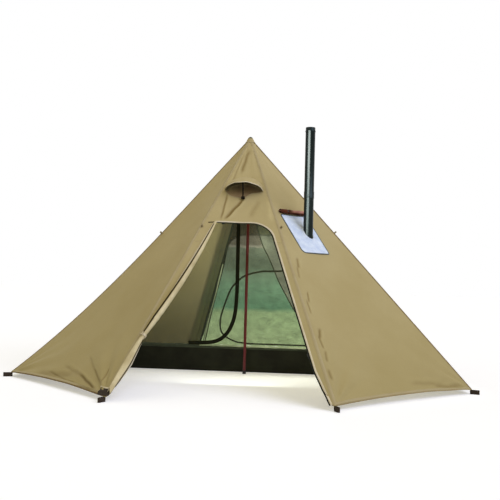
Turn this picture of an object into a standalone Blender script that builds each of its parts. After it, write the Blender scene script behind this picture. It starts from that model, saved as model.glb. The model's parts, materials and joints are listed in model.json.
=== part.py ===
"""Tipi tent: an eight-sided cloth fly on one centre pole, with a doorway and a vent at the front
and at the back, a stove jack with its pipe, and a half inner tent behind the pole.

Metres, +Z up. The pole stands on the origin and the front door faces -Y.
"""
import bpy
import bmesh
from math import atan2, ceil, cos, hypot, pi, sin
from mathutils import Matrix, Vector

# Fly
SIDES = 8
TENT_HEIGHT = 1.60
CORNER_RADIUS = 1.50
CLOTH = 0.002
GAP = 0.0003
LAID_GAP = 0.0006
HEM_RISE = 0.015
RIDGE_SAG = (0.0, 0.0, 0.0, 0.020, 0.0, 0.0, 0.020, 0.045)
SAG_SKEW = 0.6
PANEL_DISH = (0.0, 0.006, 0.010, 0.012, 0.0, 0.012, 0.012, 0.012)
FOLD_DEPTH = 0.006
FOLD_REACH = 0.45
FOLD_COUNT = 3
PANEL_COLUMNS = 12
PANEL_ROWS = 16
CUT_DEPTH = 0.050

# Webbing
WEBBING_WIDTH = 0.025
WEBBING = 0.0016
PEG_LOOP_LENGTH = 0.055
PEG_LOOP_BORE = 0.010
PEG_LOOP_TUCK = 0.012
GUY_TAB_HEIGHT = 0.945
GUY_TAB_LENGTH = 0.018
GUY_TAB_WIDTH = 0.012
GUY_TAB_CLOTH = 0.003
GUY_TAB_INSET = 0.006

# Peak
CAP_SKIRT = 0.050
CAP_CLOTH = 0.0028
PEAK_CLEARANCE = 0.001
PEAK_SEAT_DROP = 0.0085

# Doorways
DOOR_BELOW_PEAK = 0.832
DOOR_TOP_HALF_WIDTH = 0.150
DOOR_CORNER_RADIUS = 0.160
DOOR_STRIP = 0.050
DOOR_STRIP_FOOT = 0.022
DOOR_FOOT_HEIGHT = 0.200
DOOR_LEFT_STRIP_LOW = 0.036
DOOR_CUT_BELOW_HEM = 0.060
ZIP_TAPE = 0.012
ZIP_BEAD = 0.004
SLIDER_LENGTH = 0.016
SLIDER_WALL = 0.0012
SLIDER_MOUTH = 0.001
LOWER_SLIDER_UP = 0.300
UPPER_SLIDER_INSET = 0.045
PULL_LENGTH = 0.030
PULL_WIDTH = 0.007

# Rolled doors
ROLL_TOP_RADIUS = 0.007
ROLL_RADIUS = 0.018
ROLL_KNOT_RADIUS = 0.013
ROLL_SAG = 0.024
ROLL_TOP_DROP = 0.004
ROLL_EDGE_LAP = 0.002
ROLL_PINCH_FROM = 0.8
ROLL_LIFT_FROM = 0.6
ROLL_STEPS = 12
ROLL_SHEAR = -0.35
KNOT_HEIGHT = 0.375
TAIL_HALF_WIDTH = 0.024
TAIL_END_HALF_WIDTH = 0.012
TAIL_HALF_DEPTH = 0.009
TAIL_END_UP = 0.030
TAIL_RIDGE_GAP = 0.006
TIE_WIDTH = 0.012
TIE_CLEARANCE = 0.0016
TOGGLE_RADIUS = 0.004
TOGGLE_LENGTH = 0.030

# Vents
VENT_BELOW_PEAK = 0.552
VENT_HALF_WIDTH = 0.122
VENT_HOLE_HALF_WIDTH = 0.108
VENT_HOLE_DROP = 0.055
VENT_HOLE_RISE = 0.070
HOOD_SEAM_RISE = 0.140
HOOD_RIM_DROP = 0.015
HOOD_REACH = 0.095
NET = 0.0012
NET_MARGIN = 0.012
STRUT_RADIUS = 0.0045
STRUT_BASE_RADIUS = 0.009
STRUT_BASE_LENGTH = 0.022
STRUT_LIP_GAP = 0.002

# Stove jack and pipe
JACK_WIDTH = 0.228
JACK_HEIGHT = 0.320
JACK_ACROSS = -0.041
JACK_BELOW_PEAK = 0.904
JACK_CLOTH = 0.003
JACK_CORNER = 0.030
JACK_LAP = 0.022
PIPE_ACROSS = -0.030
PIPE_BELOW_PEAK = 0.929
PIPE_RADIUS = 0.030
PIPE_WALL = 0.0012
PIPE_JOINT_RISE = 0.240
PIPE_SOCKET = 0.040
PIPE_SHOULDER = 0.004
PIPE_RISE = 0.678
PIPE_TAIL = 0.125
PIPE_BEAD = 0.0022
PIPE_BEAD_DROP = 0.016
PIPE_BEAD_LENGTH = 0.014
PIPE_BEAD_SLOPE = 0.0042
PIPE_STEPS = 24
COLLAR_WIDTH = 0.010
COLLAR_HEIGHT = 0.005
JACK_ROLL_RADIUS = 0.013
JACK_ROLL_GAP = 0.004
JACK_ROLL_WAVE = 0.10

# Pole
POLE_RADIUS = 0.0095
POLE_WALL = 0.0012
POLE_SECTIONS = 4
SPIGOT_LENGTH = 0.055
SPIGOT_SHOULDER = 0.004
FOOT_HEIGHT = 0.024
FOOT_RADIUS = 0.0125
FOOT_EDGE = 0.002
FOOT_PLUG = 0.030
TIP_HEIGHT = 0.014
TIP_ROUNDING = 0.007
TIP_SHOULDER_SHARE = 0.8
TIP_FLAT_SHARE = 0.5
POLE_STEPS = 16

# Inner tent
INNER_HEM_CLEARANCE = 0.14
INNER_FRONT = 0.10
INNER_APEX_BACK = 0.050
INNER_PEAK_CLEARANCE = 0.15
INNER_CAP_DROP = 0.055
TUB_TOPS = (0.170, 0.150, 0.095, 0.095, 0.150, 0.170)
TUB_CLOTH = 0.002
TUB_SEAM_RISE = 0.004
TUB_SEAM_LAP = 0.0055
INNER_CAP_HEIGHT = 0.030
HANGER_WIDTH = 0.014
HANGER_LEAD = 0.080
HANGER_BELOW_PEAK = 0.045
FRONT_ZIP_WIDTH = 0.026
REAR_ZIP_WIDTH = 0.013
INNER_ZIP_THICK = 0.003
INNER_SLIDER_HEIGHT = 0.004
SLIDER_WIDTH_SHARE = 0.35
SLIDER_TOP_SHARE = 0.70
FRONT_ZIP_ACROSS = 0.072
FRONT_ZIP_BELOW_CAP = 0.095
FRONT_SLIDER_HEIGHT = 0.600
REAR_ZIP_TOP = 0.712
REAR_ZIP_RIDGE_GAP = 0.022
REAR_ZIP_END_GAP = 0.033
ZIP_FOOT_GAP = 0.018
REAR_SLIDER_ACROSS = 0.020

# Derived sizes
HEM_HEIGHT = WEBBING_WIDTH + GAP
HALF_TURN = pi / SIDES
APOTHEM = CORNER_RADIUS * cos(HALF_TURN)
RISE = TENT_HEIGHT - HEM_HEIGHT
SLOPE = hypot(APOTHEM, RISE)
HEM_HALF_WIDTH = CORNER_RADIUS * sin(HALF_TURN)
CLOTH_REACH = CLOTH * SLOPE / RISE
PANEL_TOP = 1.0 - (POLE_RADIUS + PEAK_CLEARANCE + CLOTH_REACH) / APOTHEM
POLE_TOP = TENT_HEIGHT - PEAK_SEAT_DROP
DOOR_TOP = SLOPE - DOOR_BELOW_PEAK
VENT_CENTRE = SLOPE - VENT_BELOW_PEAK
JACK_CENTRE = SLOPE - JACK_BELOW_PEAK
PIPE_UP = SLOPE - PIPE_BELOW_PEAK
INNER_RADIUS = CORNER_RADIUS - INNER_HEM_CLEARANCE
INNER_APEX = Vector((0.0, INNER_APEX_BACK, TENT_HEIGHT - INNER_PEAK_CLEARANCE))
INNER_TOP = INNER_APEX.z - INNER_CAP_DROP
UP = Vector((0.0, 0.0, 1.0))

COLOURS = {
    "fly": (0.37, 0.31, 0.17, 1.0),
    "trim": (0.60, 0.50, 0.30, 1.0),
    "webbing": (0.02, 0.018, 0.014, 1.0),
    "net": (0.03, 0.03, 0.02, 1.0),
    "green": (0.20, 0.32, 0.16, 1.0),
    "tub": (0.012, 0.012, 0.008, 1.0),
    "zip": (0.006, 0.010, 0.006, 1.0),
    "jack": (0.62, 0.70, 0.84, 1.0),
    "jack_flap": (0.06, 0.02, 0.015, 1.0),
    "pipe": (0.02, 0.025, 0.024, 1.0),
    "pole": (0.16, 0.012, 0.012, 1.0),
    "plastic": (0.01, 0.01, 0.01, 1.0),
}


def material(name, roughness=0.8, metallic=0.0):
    found = bpy.data.materials.get(name)
    if found:
        return found
    made = bpy.data.materials.new(name)
    made.use_nodes = True
    shader = made.node_tree.nodes["Principled BSDF"]
    shader.inputs["Base Color"].default_value = COLOURS[name]
    shader.inputs["Roughness"].default_value = roughness
    shader.inputs["Metallic"].default_value = metallic
    return made


def add_object(name, bm, finish, origin=None, smooth=True):
    """Turn a bmesh in world space into an object whose origin is at the given point."""
    mesh = bpy.data.meshes.new(name)
    bmesh.ops.recalc_face_normals(bm, faces=bm.faces)
    bm.to_mesh(mesh)
    bm.free()
    obj = bpy.data.objects.new(name, mesh)
    bpy.context.collection.objects.link(obj)
    mesh.materials.append(finish)
    if smooth:
        mesh.shade_smooth()
        mesh.set_sharp_from_angle(angle=pi / 6)
    if origin is not None:
        mesh.transform(Matrix.Translation(-origin))
        obj.location = origin
    return obj


def add_cutter(name, bm):
    """A guide solid that only cuts or joins, and isn't part of the tent."""
    cutter = add_object(name, bm, material("fly"), smooth=False)
    cutter.hide_render = True
    cutter.display_type = "WIRE"
    return cutter


def boolean(obj, other, operation):
    change = obj.modifiers.new(other.name, "BOOLEAN")
    change.operation = operation
    change.solver = "EXACT"
    change.object = other


def lofted(rings, loop=False):
    """Skin a list of equal rings of points into a closed surface."""
    bm = bmesh.new()
    made = [[bm.verts.new(point) for point in ring] for ring in rings]
    count = len(rings[0])
    pairs = list(zip(made, made[1:]))
    if loop:
        pairs.append((made[-1], made[0]))
    for low, high in pairs:
        for i in range(count):
            j = (i + 1) % count
            bm.faces.new((low[i], low[j], high[j], high[i]))
    if not loop:
        bm.faces.new(list(reversed(made[0])))
        bm.faces.new(made[-1])
    return bm


def revolved(profile, steps, centre=Vector((0.0, 0.0, 0.0))):
    """Turn a closed profile of (radius, height) about a vertical axis; radius 0 points are poles."""
    bm = bmesh.new()
    columns = []
    for radius, height in profile:
        if radius == 0.0:
            pole = bm.verts.new(centre + Vector((0.0, 0.0, height)))
            columns.append([pole] * steps)
            continue
        ring = []
        for i in range(steps):
            angle = 2 * pi * i / steps
            ring.append(bm.verts.new(centre + Vector((radius * cos(angle), radius * sin(angle), height))))
        columns.append(ring)
    closed = profile[0][0] > 0.0 and profile[-1][0] > 0.0
    pairs = list(zip(columns, columns[1:]))
    if closed:
        pairs.append((columns[-1], columns[0]))
    for low, high in pairs:
        for i in range(steps):
            j = (i + 1) % steps
            corners = []
            for vert in (low[i], low[j], high[j], high[i]):
                if vert not in corners:
                    corners.append(vert)
            if len(corners) > 2:
                bm.faces.new(corners)
    return bm


# The fly's surface. Panel 0 faces the front and the others follow anticlockwise, seen from above.
def panel_axes(panel):
    """Across (to the right from outside), up the slope, and outward directions of a flat panel."""
    middle = -pi / 2 + 2 * HALF_TURN * panel
    level = Vector((cos(middle), sin(middle), 0.0))
    across = Vector((-sin(middle), cos(middle), 0.0))
    outward = level * (RISE / SLOPE) + UP * (APOTHEM / SLOPE)
    upward = UP * (RISE / SLOPE) - level * (APOTHEM / SLOPE)
    return across, upward, outward


def ridge_normal(ridge):
    angle = -pi / 2 - HALF_TURN + 2 * HALF_TURN * ridge
    length = hypot(CORNER_RADIUS, RISE)
    level = Vector((cos(angle), sin(angle), 0.0))
    return level * (RISE / length) + UP * (CORNER_RADIUS / length)


def ridge_point(ridge, t, height=0.0):
    """A point on a ridge, from its hem corner at t = 0 to the peak at t = 1."""
    ridge %= SIDES
    angle = -pi / 2 - HALF_TURN + 2 * HALF_TURN * ridge
    reach = CORNER_RADIUS * (1.0 - t)
    point = Vector((reach * cos(angle), reach * sin(angle), HEM_HEIGHT + RISE * t))
    sag = RIDGE_SAG[ridge] * 4.0 * t * (1.0 - t) * (1.0 + SAG_SKEW * (1.0 - 2.0 * t))
    normal = ridge_normal(ridge)
    mitre = panel_axes(ridge)[2].dot(normal)
    return point + normal * (height / mitre - sag)


def fold(panel, s, t):
    """Depth of the cloth below its ruled surface: the panel's dish and the folds drawn by its corners."""
    side = max(0.0, 1.0 - s * s)
    dish = PANEL_DISH[panel] * side * 4.0 * t * (1.0 - t)
    if PANEL_DISH[panel] == 0.0:
        return 0.0
    depth = 0.0
    for corner in (-1.0, 1.0):
        run = HEM_HALF_WIDTH * (1.0 - corner * s) * (1.0 - t)
        lift = SLOPE * t
        reach = hypot(run, lift)
        if reach < 1e-6:
            continue
        spread = atan2(lift, run) / atan2(SLOPE, HEM_HALF_WIDTH)
        fade = max(0.0, 1.0 - reach / FOLD_REACH) * min(1.0, reach / (0.25 * FOLD_REACH))
        depth += FOLD_DEPTH * fade * sin(FOLD_COUNT * pi * min(spread, 1.0)) * side ** 0.5
    return dish + depth


def panel_point(panel, s, t, height=0.0, trim=0.0):
    """A point on a panel: s runs from its left ridge (-1) to its right one (1), t from hem to peak."""
    across, _, outward = panel_axes(panel)
    left = ridge_point(panel, t, height) + across * trim
    right = ridge_point(panel + 1, t, height) - across * trim
    return left.lerp(right, (s + 1.0) / 2.0) - outward * fold(panel, s, t)


def at(panel, across_run, up_run, height=0.0):
    """The point of a panel at so many metres across from its middle and up the slope from the hem."""
    across = panel_axes(panel)[0]
    t = up_run / SLOPE
    left = across.dot(ridge_point(panel, t))
    right = across.dot(ridge_point(panel + 1, t))
    s = (2.0 * across_run - left - right) / (right - left)
    return panel_point(panel, s, t) + panel_axes(panel)[2] * height


def half_width(up_run):
    return HEM_HALF_WIDTH * (1.0 - up_run / SLOPE)


def prism_on_panel(panel, outline, low, high):
    """A solid over an outline of (across, up) points, between two heights above a panel."""
    rings = [[at(panel, a, u, height) for a, u in outline] for height in (low, high)]
    return lofted(rings)


def turned_left(path, i):
    """Unit normal to the left of a path of plane points at its point i."""
    before = path[max(i - 1, 0)]
    after = path[min(i + 1, len(path) - 1)]
    run = (after[0] - before[0], after[1] - before[1])
    length = hypot(*run)
    return (-run[1] / length, run[0] / length)


def swept_on_panel(panel, path, section):
    """Sweep a section of (offset to the left, height) points along a path on a panel."""
    rings = []
    for i, (a, u) in enumerate(path):
        side = turned_left(path, i)
        rings.append([at(panel, a + side[0] * d, u + side[1] * d, h) for d, h in section])
    return lofted(rings)


def arc(centre, radius, start, end, steps):
    points = []
    for i in range(steps + 1):
        angle = start + (end - start) * i / steps
        points.append((centre[0] + radius * cos(angle), centre[1] + radius * sin(angle)))
    return points


def divided(points, step):
    """Points along straight runs, no further apart than the step."""
    result = [points[0]]
    for before, after in zip(points, points[1:]):
        count = max(1, ceil(hypot(after[0] - before[0], after[1] - before[1]) / step))
        for i in range(1, count + 1):
            share = i / count
            result.append((before[0] + (after[0] - before[0]) * share,
                           before[1] + (after[1] - before[1]) * share))
    return result


# Doorway
def door_right_edge(up_run):
    return half_width(up_run) - DOOR_STRIP


def door_corner():
    """Centre and two tangent points of the doorway's rounded upper right corner."""
    slant = atan2(SLOPE, HEM_HALF_WIDTH)
    centre_up = DOOR_TOP - DOOR_CORNER_RADIUS
    edge = door_right_edge(centre_up)
    centre = (edge - DOOR_CORNER_RADIUS / sin(slant), centre_up)
    side_angle = pi / 2 - slant
    return centre, side_angle


def strip_foot(up_run):
    """How far from the middle the doorway's edge lies near the ground, where the strips narrow."""
    at_hem = HEM_HALF_WIDTH - DOOR_STRIP_FOOT
    return at_hem + (door_right_edge(DOOR_FOOT_HEIGHT) - at_hem) * up_run / DOOR_FOOT_HEIGHT


def door_path(foot_up):
    """The zipped edge, from the foot of its right side up and round to the top left corner."""
    centre, side_angle = door_corner()
    path = [(strip_foot(foot_up), foot_up), (door_right_edge(DOOR_FOOT_HEIGHT), DOOR_FOOT_HEIGHT)]
    path += arc(centre, DOOR_CORNER_RADIUS, side_angle, pi / 2, 8)
    path.append((-DOOR_TOP_HALF_WIDTH, DOOR_TOP))
    return path


def door_outline():
    """The whole doorway: the zipped edge, then the hinge side down to below the hem."""
    foot = -DOOR_CUT_BELOW_HEM
    return door_path(foot) + [
        (-(half_width(KNOT_HEIGHT) - DOOR_LEFT_STRIP_LOW), KNOT_HEIGHT),
        (-door_right_edge(DOOR_FOOT_HEIGHT), DOOR_FOOT_HEIGHT),
        (-strip_foot(foot), foot)]


# Vent
def vent_hole():
    """A lens with a deep lower arc and a shallower upper one."""
    steps = 10
    lower = []
    upper = []
    for i in range(steps + 1):
        angle = pi * i / steps
        lower.append((-VENT_HOLE_HALF_WIDTH * cos(angle), VENT_CENTRE - VENT_HOLE_DROP * sin(angle)))
    for i in range(1, steps):
        angle = pi * i / steps
        upper.append((VENT_HOLE_HALF_WIDTH * cos(angle), VENT_CENTRE + VENT_HOLE_RISE * sin(angle)))
    return lower + upper


def rounded_rectangle(centre, width, height, radius, steps=4):
    half_w = width / 2 - radius
    half_h = height / 2 - radius
    points = []
    for i, (x, y) in enumerate(((1, 1), (-1, 1), (-1, -1), (1, -1))):
        corner = (centre[0] + x * half_w, centre[1] + y * half_h)
        points += arc(corner, radius, i * pi / 2, (i + 1) * pi / 2, steps)
    return points


# Fly panels
def panel_mesh(panel):
    """One sewn gore of the fly: outer and inner skins mitred at both ridges, with a curved hem."""
    trim = GAP / 2 / cos(HALF_TURN)
    skins = []
    for height in (0.0, -CLOTH):
        rows = []
        for row in range(PANEL_ROWS + 1):
            points = []
            for column in range(PANEL_COLUMNS + 1):
                s = -1.0 + 2.0 * column / PANEL_COLUMNS
                hem = (HEM_RISE * (1.0 - s * s) - height) / RISE
                t = hem + (PANEL_TOP - hem) * row / PANEL_ROWS
                points.append(panel_point(panel, s, t, height, trim))
            rows.append(points)
        skins.append(rows)
    bm = bmesh.new()
    verts = [[[bm.verts.new(p) for p in row] for row in rows] for rows in skins]
    outer, inner = verts
    for r in range(PANEL_ROWS):
        for c in range(PANEL_COLUMNS):
            bm.faces.new((outer[r][c], outer[r][c + 1], outer[r + 1][c + 1], outer[r + 1][c]))
            bm.faces.new((inner[r][c], inner[r + 1][c], inner[r + 1][c + 1], inner[r][c + 1]))
    for r in range(PANEL_ROWS):
        for c, flip in ((0, False), (PANEL_COLUMNS, True)):
            face = [outer[r][c], outer[r + 1][c], inner[r + 1][c], inner[r][c]]
            bm.faces.new(face[::-1] if flip else face)
    for c in range(PANEL_COLUMNS):
        for r, flip in ((0, True), (PANEL_ROWS, False)):
            face = [outer[r][c], inner[r][c], inner[r][c + 1], outer[r][c + 1]]
            bm.faces.new(face if flip else face[::-1])
    return bm


def guy_tab(panel):
    """A folded webbing tab sewn on a panel beside its left ridge, for a guy line."""
    up_run = (GUY_TAB_HEIGHT - HEM_HEIGHT) * SLOPE / RISE
    left_ridge = panel_axes(panel)[0].dot(ridge_point(panel, up_run / SLOPE))
    near = left_ridge + GUY_TAB_INSET
    outline = [(near, up_run - GUY_TAB_WIDTH / 2), (near + GUY_TAB_WIDTH, up_run - GUY_TAB_WIDTH / 2),
               (near + GUY_TAB_WIDTH, up_run + GUY_TAB_WIDTH / 2), (near, up_run + GUY_TAB_WIDTH / 2)]
    sewn = prism_on_panel(panel, outline, -CLOTH / 2, GUY_TAB_CLOTH)
    tongue_centre = near + GUY_TAB_WIDTH / 2
    half = GUY_TAB_CLOTH / 2
    half_tongue = GUY_TAB_WIDTH / 2 - GUY_TAB_CLOTH / 2
    outline = [(tongue_centre - half, up_run - half_tongue), (tongue_centre + half, up_run - half_tongue),
               (tongue_centre + half, up_run + half_tongue), (tongue_centre - half, up_run + half_tongue)]
    tongue = prism_on_panel(panel, outline, -CLOTH / 4, GUY_TAB_LENGTH)
    return sewn, tongue


def fly_panel(panel, name):
    obj = add_object(name, panel_mesh(panel), material("fly"))
    cuts = []
    if panel in (0, SIDES // 2):
        cuts = [("door", door_outline()), ("vent", vent_hole())]
    if panel == 1:
        window = rounded_rectangle((JACK_ACROSS, JACK_CENTRE), JACK_WIDTH - 2 * JACK_LAP,
                                   JACK_HEIGHT - 2 * JACK_LAP, JACK_CORNER / 2, 2)
        cuts = [("jack", divided(window + window[:1], 0.05)[:-1])]
    for cut, outline in cuts:
        cutter = add_cutter(f"{name}_{cut}_cut", prism_on_panel(panel, outline, -CUT_DEPTH, CUT_DEPTH))
        boolean(obj, cutter, "DIFFERENCE")
    for part, bm in zip(("sewn", "tongue"), guy_tab(panel)):
        boolean(obj, add_cutter(f"{name}_{part}_guide", bm), "UNION")
    return obj


def peak_cap():
    """Reinforced octagonal cap over the panels' ends, with a flat seat on the pole's tip."""
    skirt_t = 1.0 - CAP_SKIRT / SLOPE
    outer_height = GAP + CAP_CLOTH
    top_share = outer_height * SLOPE / APOTHEM / RISE
    outer_low = [ridge_point(k, skirt_t, outer_height) for k in range(SIDES)]
    outer_mid = [ridge_point(k, 1.0 - 0.25 * CAP_SKIRT / SLOPE, outer_height) for k in range(SIDES)]
    flat_radius = CORNER_RADIUS * top_share * 0.9
    outer_high = []
    for k in range(SIDES):
        angle = -pi / 2 - HALF_TURN + 2 * HALF_TURN * k
        outer_high.append(Vector((flat_radius * cos(angle), flat_radius * sin(angle), TENT_HEIGHT)))
    seat = POLE_TOP + GAP
    seat_t = (seat - HEM_HEIGHT) / RISE
    inner_high = [ridge_point(k, seat_t, GAP) for k in range(SIDES)]
    for point in inner_high:
        point.z = seat
    inner_low = [ridge_point(k, skirt_t, GAP) for k in range(SIDES)]
    return add_object("peak_cap", lofted([inner_high, inner_low, outer_low, outer_mid, outer_high]),
                      material("fly"), smooth=False)


def peg_loop(ridge, name):
    """A band of webbing standing on edge under a hem corner, open towards the peg."""
    angle = -pi / 2 - HALF_TURN + 2 * HALF_TURN * ridge
    level = Vector((cos(angle), sin(angle), 0.0))
    side = Vector((-sin(angle), cos(angle), 0.0))
    start = CORNER_RADIUS - PEG_LOOP_TUCK
    outer_radius = PEG_LOOP_BORE / 2 + WEBBING

    def stadium(radius):
        near = start + outer_radius
        far = start + PEG_LOOP_LENGTH - outer_radius
        points = []
        for centre, turn in ((far, -pi / 2), (near, pi / 2)):
            for i in range(7):
                a = turn + pi * i / 6
                points.append((centre + radius * cos(a), radius * sin(a)))
        return points

    rings = []
    for radius, height in ((outer_radius, 0.0), (outer_radius, WEBBING_WIDTH),
                           (PEG_LOOP_BORE / 2, WEBBING_WIDTH), (PEG_LOOP_BORE / 2, 0.0)):
        rings.append([level * x + side * y + UP * height for x, y in stadium(radius)])
    return add_object(name, lofted(rings, loop=True), material("webbing"))


# Doors
def door_zip(panel, name):
    """Zip tape with its bead of teeth along the doorway's zipped edge."""
    low = -CLOTH + GAP
    high = -GAP
    bead_start = ZIP_TAPE - ZIP_BEAD
    half_bead = ZIP_BEAD / 2
    middle = -CLOTH / 2
    section = [(GAP, low), (bead_start, low), (bead_start, middle - half_bead),
               (ZIP_TAPE, middle - half_bead), (ZIP_TAPE, middle + half_bead),
               (bead_start, middle + half_bead), (bead_start, high), (GAP, high)]
    path = divided(door_path(0.004), 0.12)
    path[-1] = (path[-1][0] + ZIP_TAPE, path[-1][1])
    return add_object(name, swept_on_panel(panel, path, section), material("zip"))


def door_slider(panel, name, start, end, share):
    """A zip slider: a channel that clasps the bead from the doorway's side, with a hanging pull."""
    place = (start[0] + (end[0] - start[0]) * share, start[1] + (end[1] - start[1]) * share)
    run = (end[0] - start[0], end[1] - start[1])
    length = hypot(*run)
    along = (run[0] / length, run[1] / length)
    left = (-along[1], along[0])
    middle = -CLOTH / 2
    clear = ZIP_BEAD / 2 + GAP
    wall = clear + SLIDER_WALL
    inner = ZIP_TAPE + GAP
    tape_side = ZIP_TAPE - ZIP_BEAD + SLIDER_MOUTH
    section = [(tape_side, middle + clear), (inner, middle + clear), (inner, middle - clear),
               (tape_side, middle - clear), (tape_side, middle - wall), (inner + SLIDER_WALL, middle - wall),
               (inner + SLIDER_WALL, middle + wall), (tape_side, middle + wall)]
    rings = []
    for end_share in (-0.5, 0.5):
        shift = SLIDER_LENGTH * end_share
        ring = []
        for d, h in section:
            ring.append(at(panel, place[0] + along[0] * shift + left[0] * d,
                           place[1] + along[1] * shift + left[1] * d, h))
        rings.append(ring)
    origin = at(panel, place[0], place[1])
    obj = add_object(name, lofted(rings), material("zip"), origin=origin)
    pull_centre = inner - PULL_WIDTH / 2
    pull_low = middle + wall - SLIDER_WALL / 2
    pull_high = middle + wall + SLIDER_WALL
    outline = []
    for x, y in ((-1, 0), (1, 0), (1, 1), (-1, 1)):
        d = pull_centre + x * PULL_WIDTH / 2
        shift = SLIDER_LENGTH / 4 - y * PULL_LENGTH
        outline.append((place[0] + along[0] * shift + left[0] * d,
                        place[1] + along[1] * shift + left[1] * d))
    pull = add_cutter(f"{name}_pull_guide", prism_on_panel(panel, outline, pull_low, pull_high))
    boolean(obj, pull, "UNION")
    return obj


def roll_stations():
    """The tie's centre and the roll's direction there, then the rolled door's stations down its length:
    centre, half width, half depth and standing height. Its neck in the tie is straight."""
    stand = WEBBING + TIE_CLEARANCE
    top = (ROLL_EDGE_LAP - DOOR_TOP_HALF_WIDTH, DOOR_TOP - ROLL_TOP_DROP)
    knot = (DOOR_LEFT_STRIP_LOW - ROLL_EDGE_LAP - half_width(KNOT_HEIGHT), KNOT_HEIGHT)
    run = (top[0] - knot[0] + 4.0 * ROLL_SAG, top[1] - knot[1])
    along = (run[0] / hypot(*run), run[1] / hypot(*run))
    stations = []
    for i in range(ROLL_STEPS):
        share = i / ROLL_STEPS
        swell = sin(pi * min(1.0, share * 1.25) / 2)
        radius = ROLL_TOP_RADIUS + (ROLL_RADIUS - ROLL_TOP_RADIUS) * swell
        pinch = max(0.0, (share - ROLL_PINCH_FROM) / (1.0 - ROLL_PINCH_FROM))
        lift = max(0.0, (share - ROLL_LIFT_FROM) / (1.0 - ROLL_LIFT_FROM))
        radius += (ROLL_KNOT_RADIUS - radius) * pinch ** 2
        sag = ROLL_SAG * 4.0 * share * (1.0 - share)
        stations.append((top[0] + (knot[0] - top[0]) * share + sag,
                         top[1] + (knot[1] - top[1]) * share, radius, radius,
                         LAID_GAP + stand * lift))
    for side in (TIE_WIDTH, -TIE_WIDTH):
        stations.append((knot[0] + along[0] * side, knot[1] + along[1] * side,
                         ROLL_KNOT_RADIUS, ROLL_KNOT_RADIUS, LAID_GAP + stand))
    neck = stations[-1]
    tail_steps = 5
    tail_end = (TAIL_END_HALF_WIDTH + TAIL_RIDGE_GAP - half_width(TAIL_END_UP), TAIL_END_UP)
    for i in range(1, tail_steps + 1):
        share = i / tail_steps
        widen = sin(pi * min(1.0, share * 1.6) / 2)
        narrow = (TAIL_HALF_WIDTH - TAIL_END_HALF_WIDTH) * share ** 3
        stations.append((neck[0] + (tail_end[0] - neck[0]) * share,
                         neck[1] + (tail_end[1] - neck[1]) * share,
                         ROLL_KNOT_RADIUS + (TAIL_HALF_WIDTH - ROLL_KNOT_RADIUS) * widen - narrow,
                         ROLL_KNOT_RADIUS + (TAIL_HALF_DEPTH - ROLL_KNOT_RADIUS) * widen,
                         LAID_GAP + stand * (1.0 - share)))
    return knot, along, stations


def door_roll(panel, name):
    """The door rolled up to its hinge side, pinched by the tie, with its loose tail below."""
    rings = []
    steps = 14
    _, _, stations = roll_stations()
    for a, u, wide, deep, stand in stations:
        ring = []
        for i in range(steps):
            angle = 2 * pi * i / steps
            ring.append(at(panel, a + wide * cos(angle), u + wide * ROLL_SHEAR * cos(angle),
                           stand + deep * (1.0 + sin(angle))))
        rings.append(ring)
    return add_object(name, lofted(rings), material("trim"))


def door_tie(panel, name):
    """A band round the rolled door's neck, with a toggle through its end."""
    knot, along, _ = roll_stations()
    inner = ROLL_KNOT_RADIUS + TIE_CLEARANCE
    outer = inner + WEBBING
    centre_h = LAID_GAP + WEBBING + TIE_CLEARANCE + ROLL_KNOT_RADIUS
    steps = 16
    rings = []
    for radius, shift in ((outer, -0.5), (outer, 0.5), (inner, 0.5), (inner, -0.5)):
        ring = []
        for i in range(steps):
            angle = 2 * pi * i / steps
            ring.append(at(panel, knot[0] + radius * cos(angle) + along[0] * TIE_WIDTH * shift,
                           knot[1] + radius * ROLL_SHEAR * cos(angle) + along[1] * TIE_WIDTH * shift,
                           centre_h + radius * sin(angle)))
        rings.append(ring)
    obj = add_object(name, lofted(rings, loop=True), material("webbing"))
    bar_h = centre_h + outer + TOGGLE_RADIUS - WEBBING / 2
    bar = []
    for end in (-0.5, 0.5):
        ring = []
        for i in range(8):
            angle = 2 * pi * i / 8
            ring.append(at(panel, knot[0] + TOGGLE_RADIUS * cos(angle), knot[1] + TOGGLE_LENGTH * end,
                           bar_h + TOGGLE_RADIUS * sin(angle)))
        bar.append(ring)
    boolean(obj, add_cutter(f"{name}_toggle_guide", lofted(bar)), "UNION")
    return obj


# Vents
def hood_point(panel, angle, v):
    """A point of the vent hood: v runs from the sewn seam to the free rim."""
    lift = sin(angle)
    seam = VENT_CENTRE + HOOD_SEAM_RISE * lift
    rim = VENT_CENTRE - HOOD_RIM_DROP * lift
    height = CLOTH + LAID_GAP + HOOD_REACH * lift * (1.0 - (1.0 - v) ** 1.4)
    return at(panel, VENT_HALF_WIDTH * cos(angle), seam + (rim - seam) * v, height)


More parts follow.
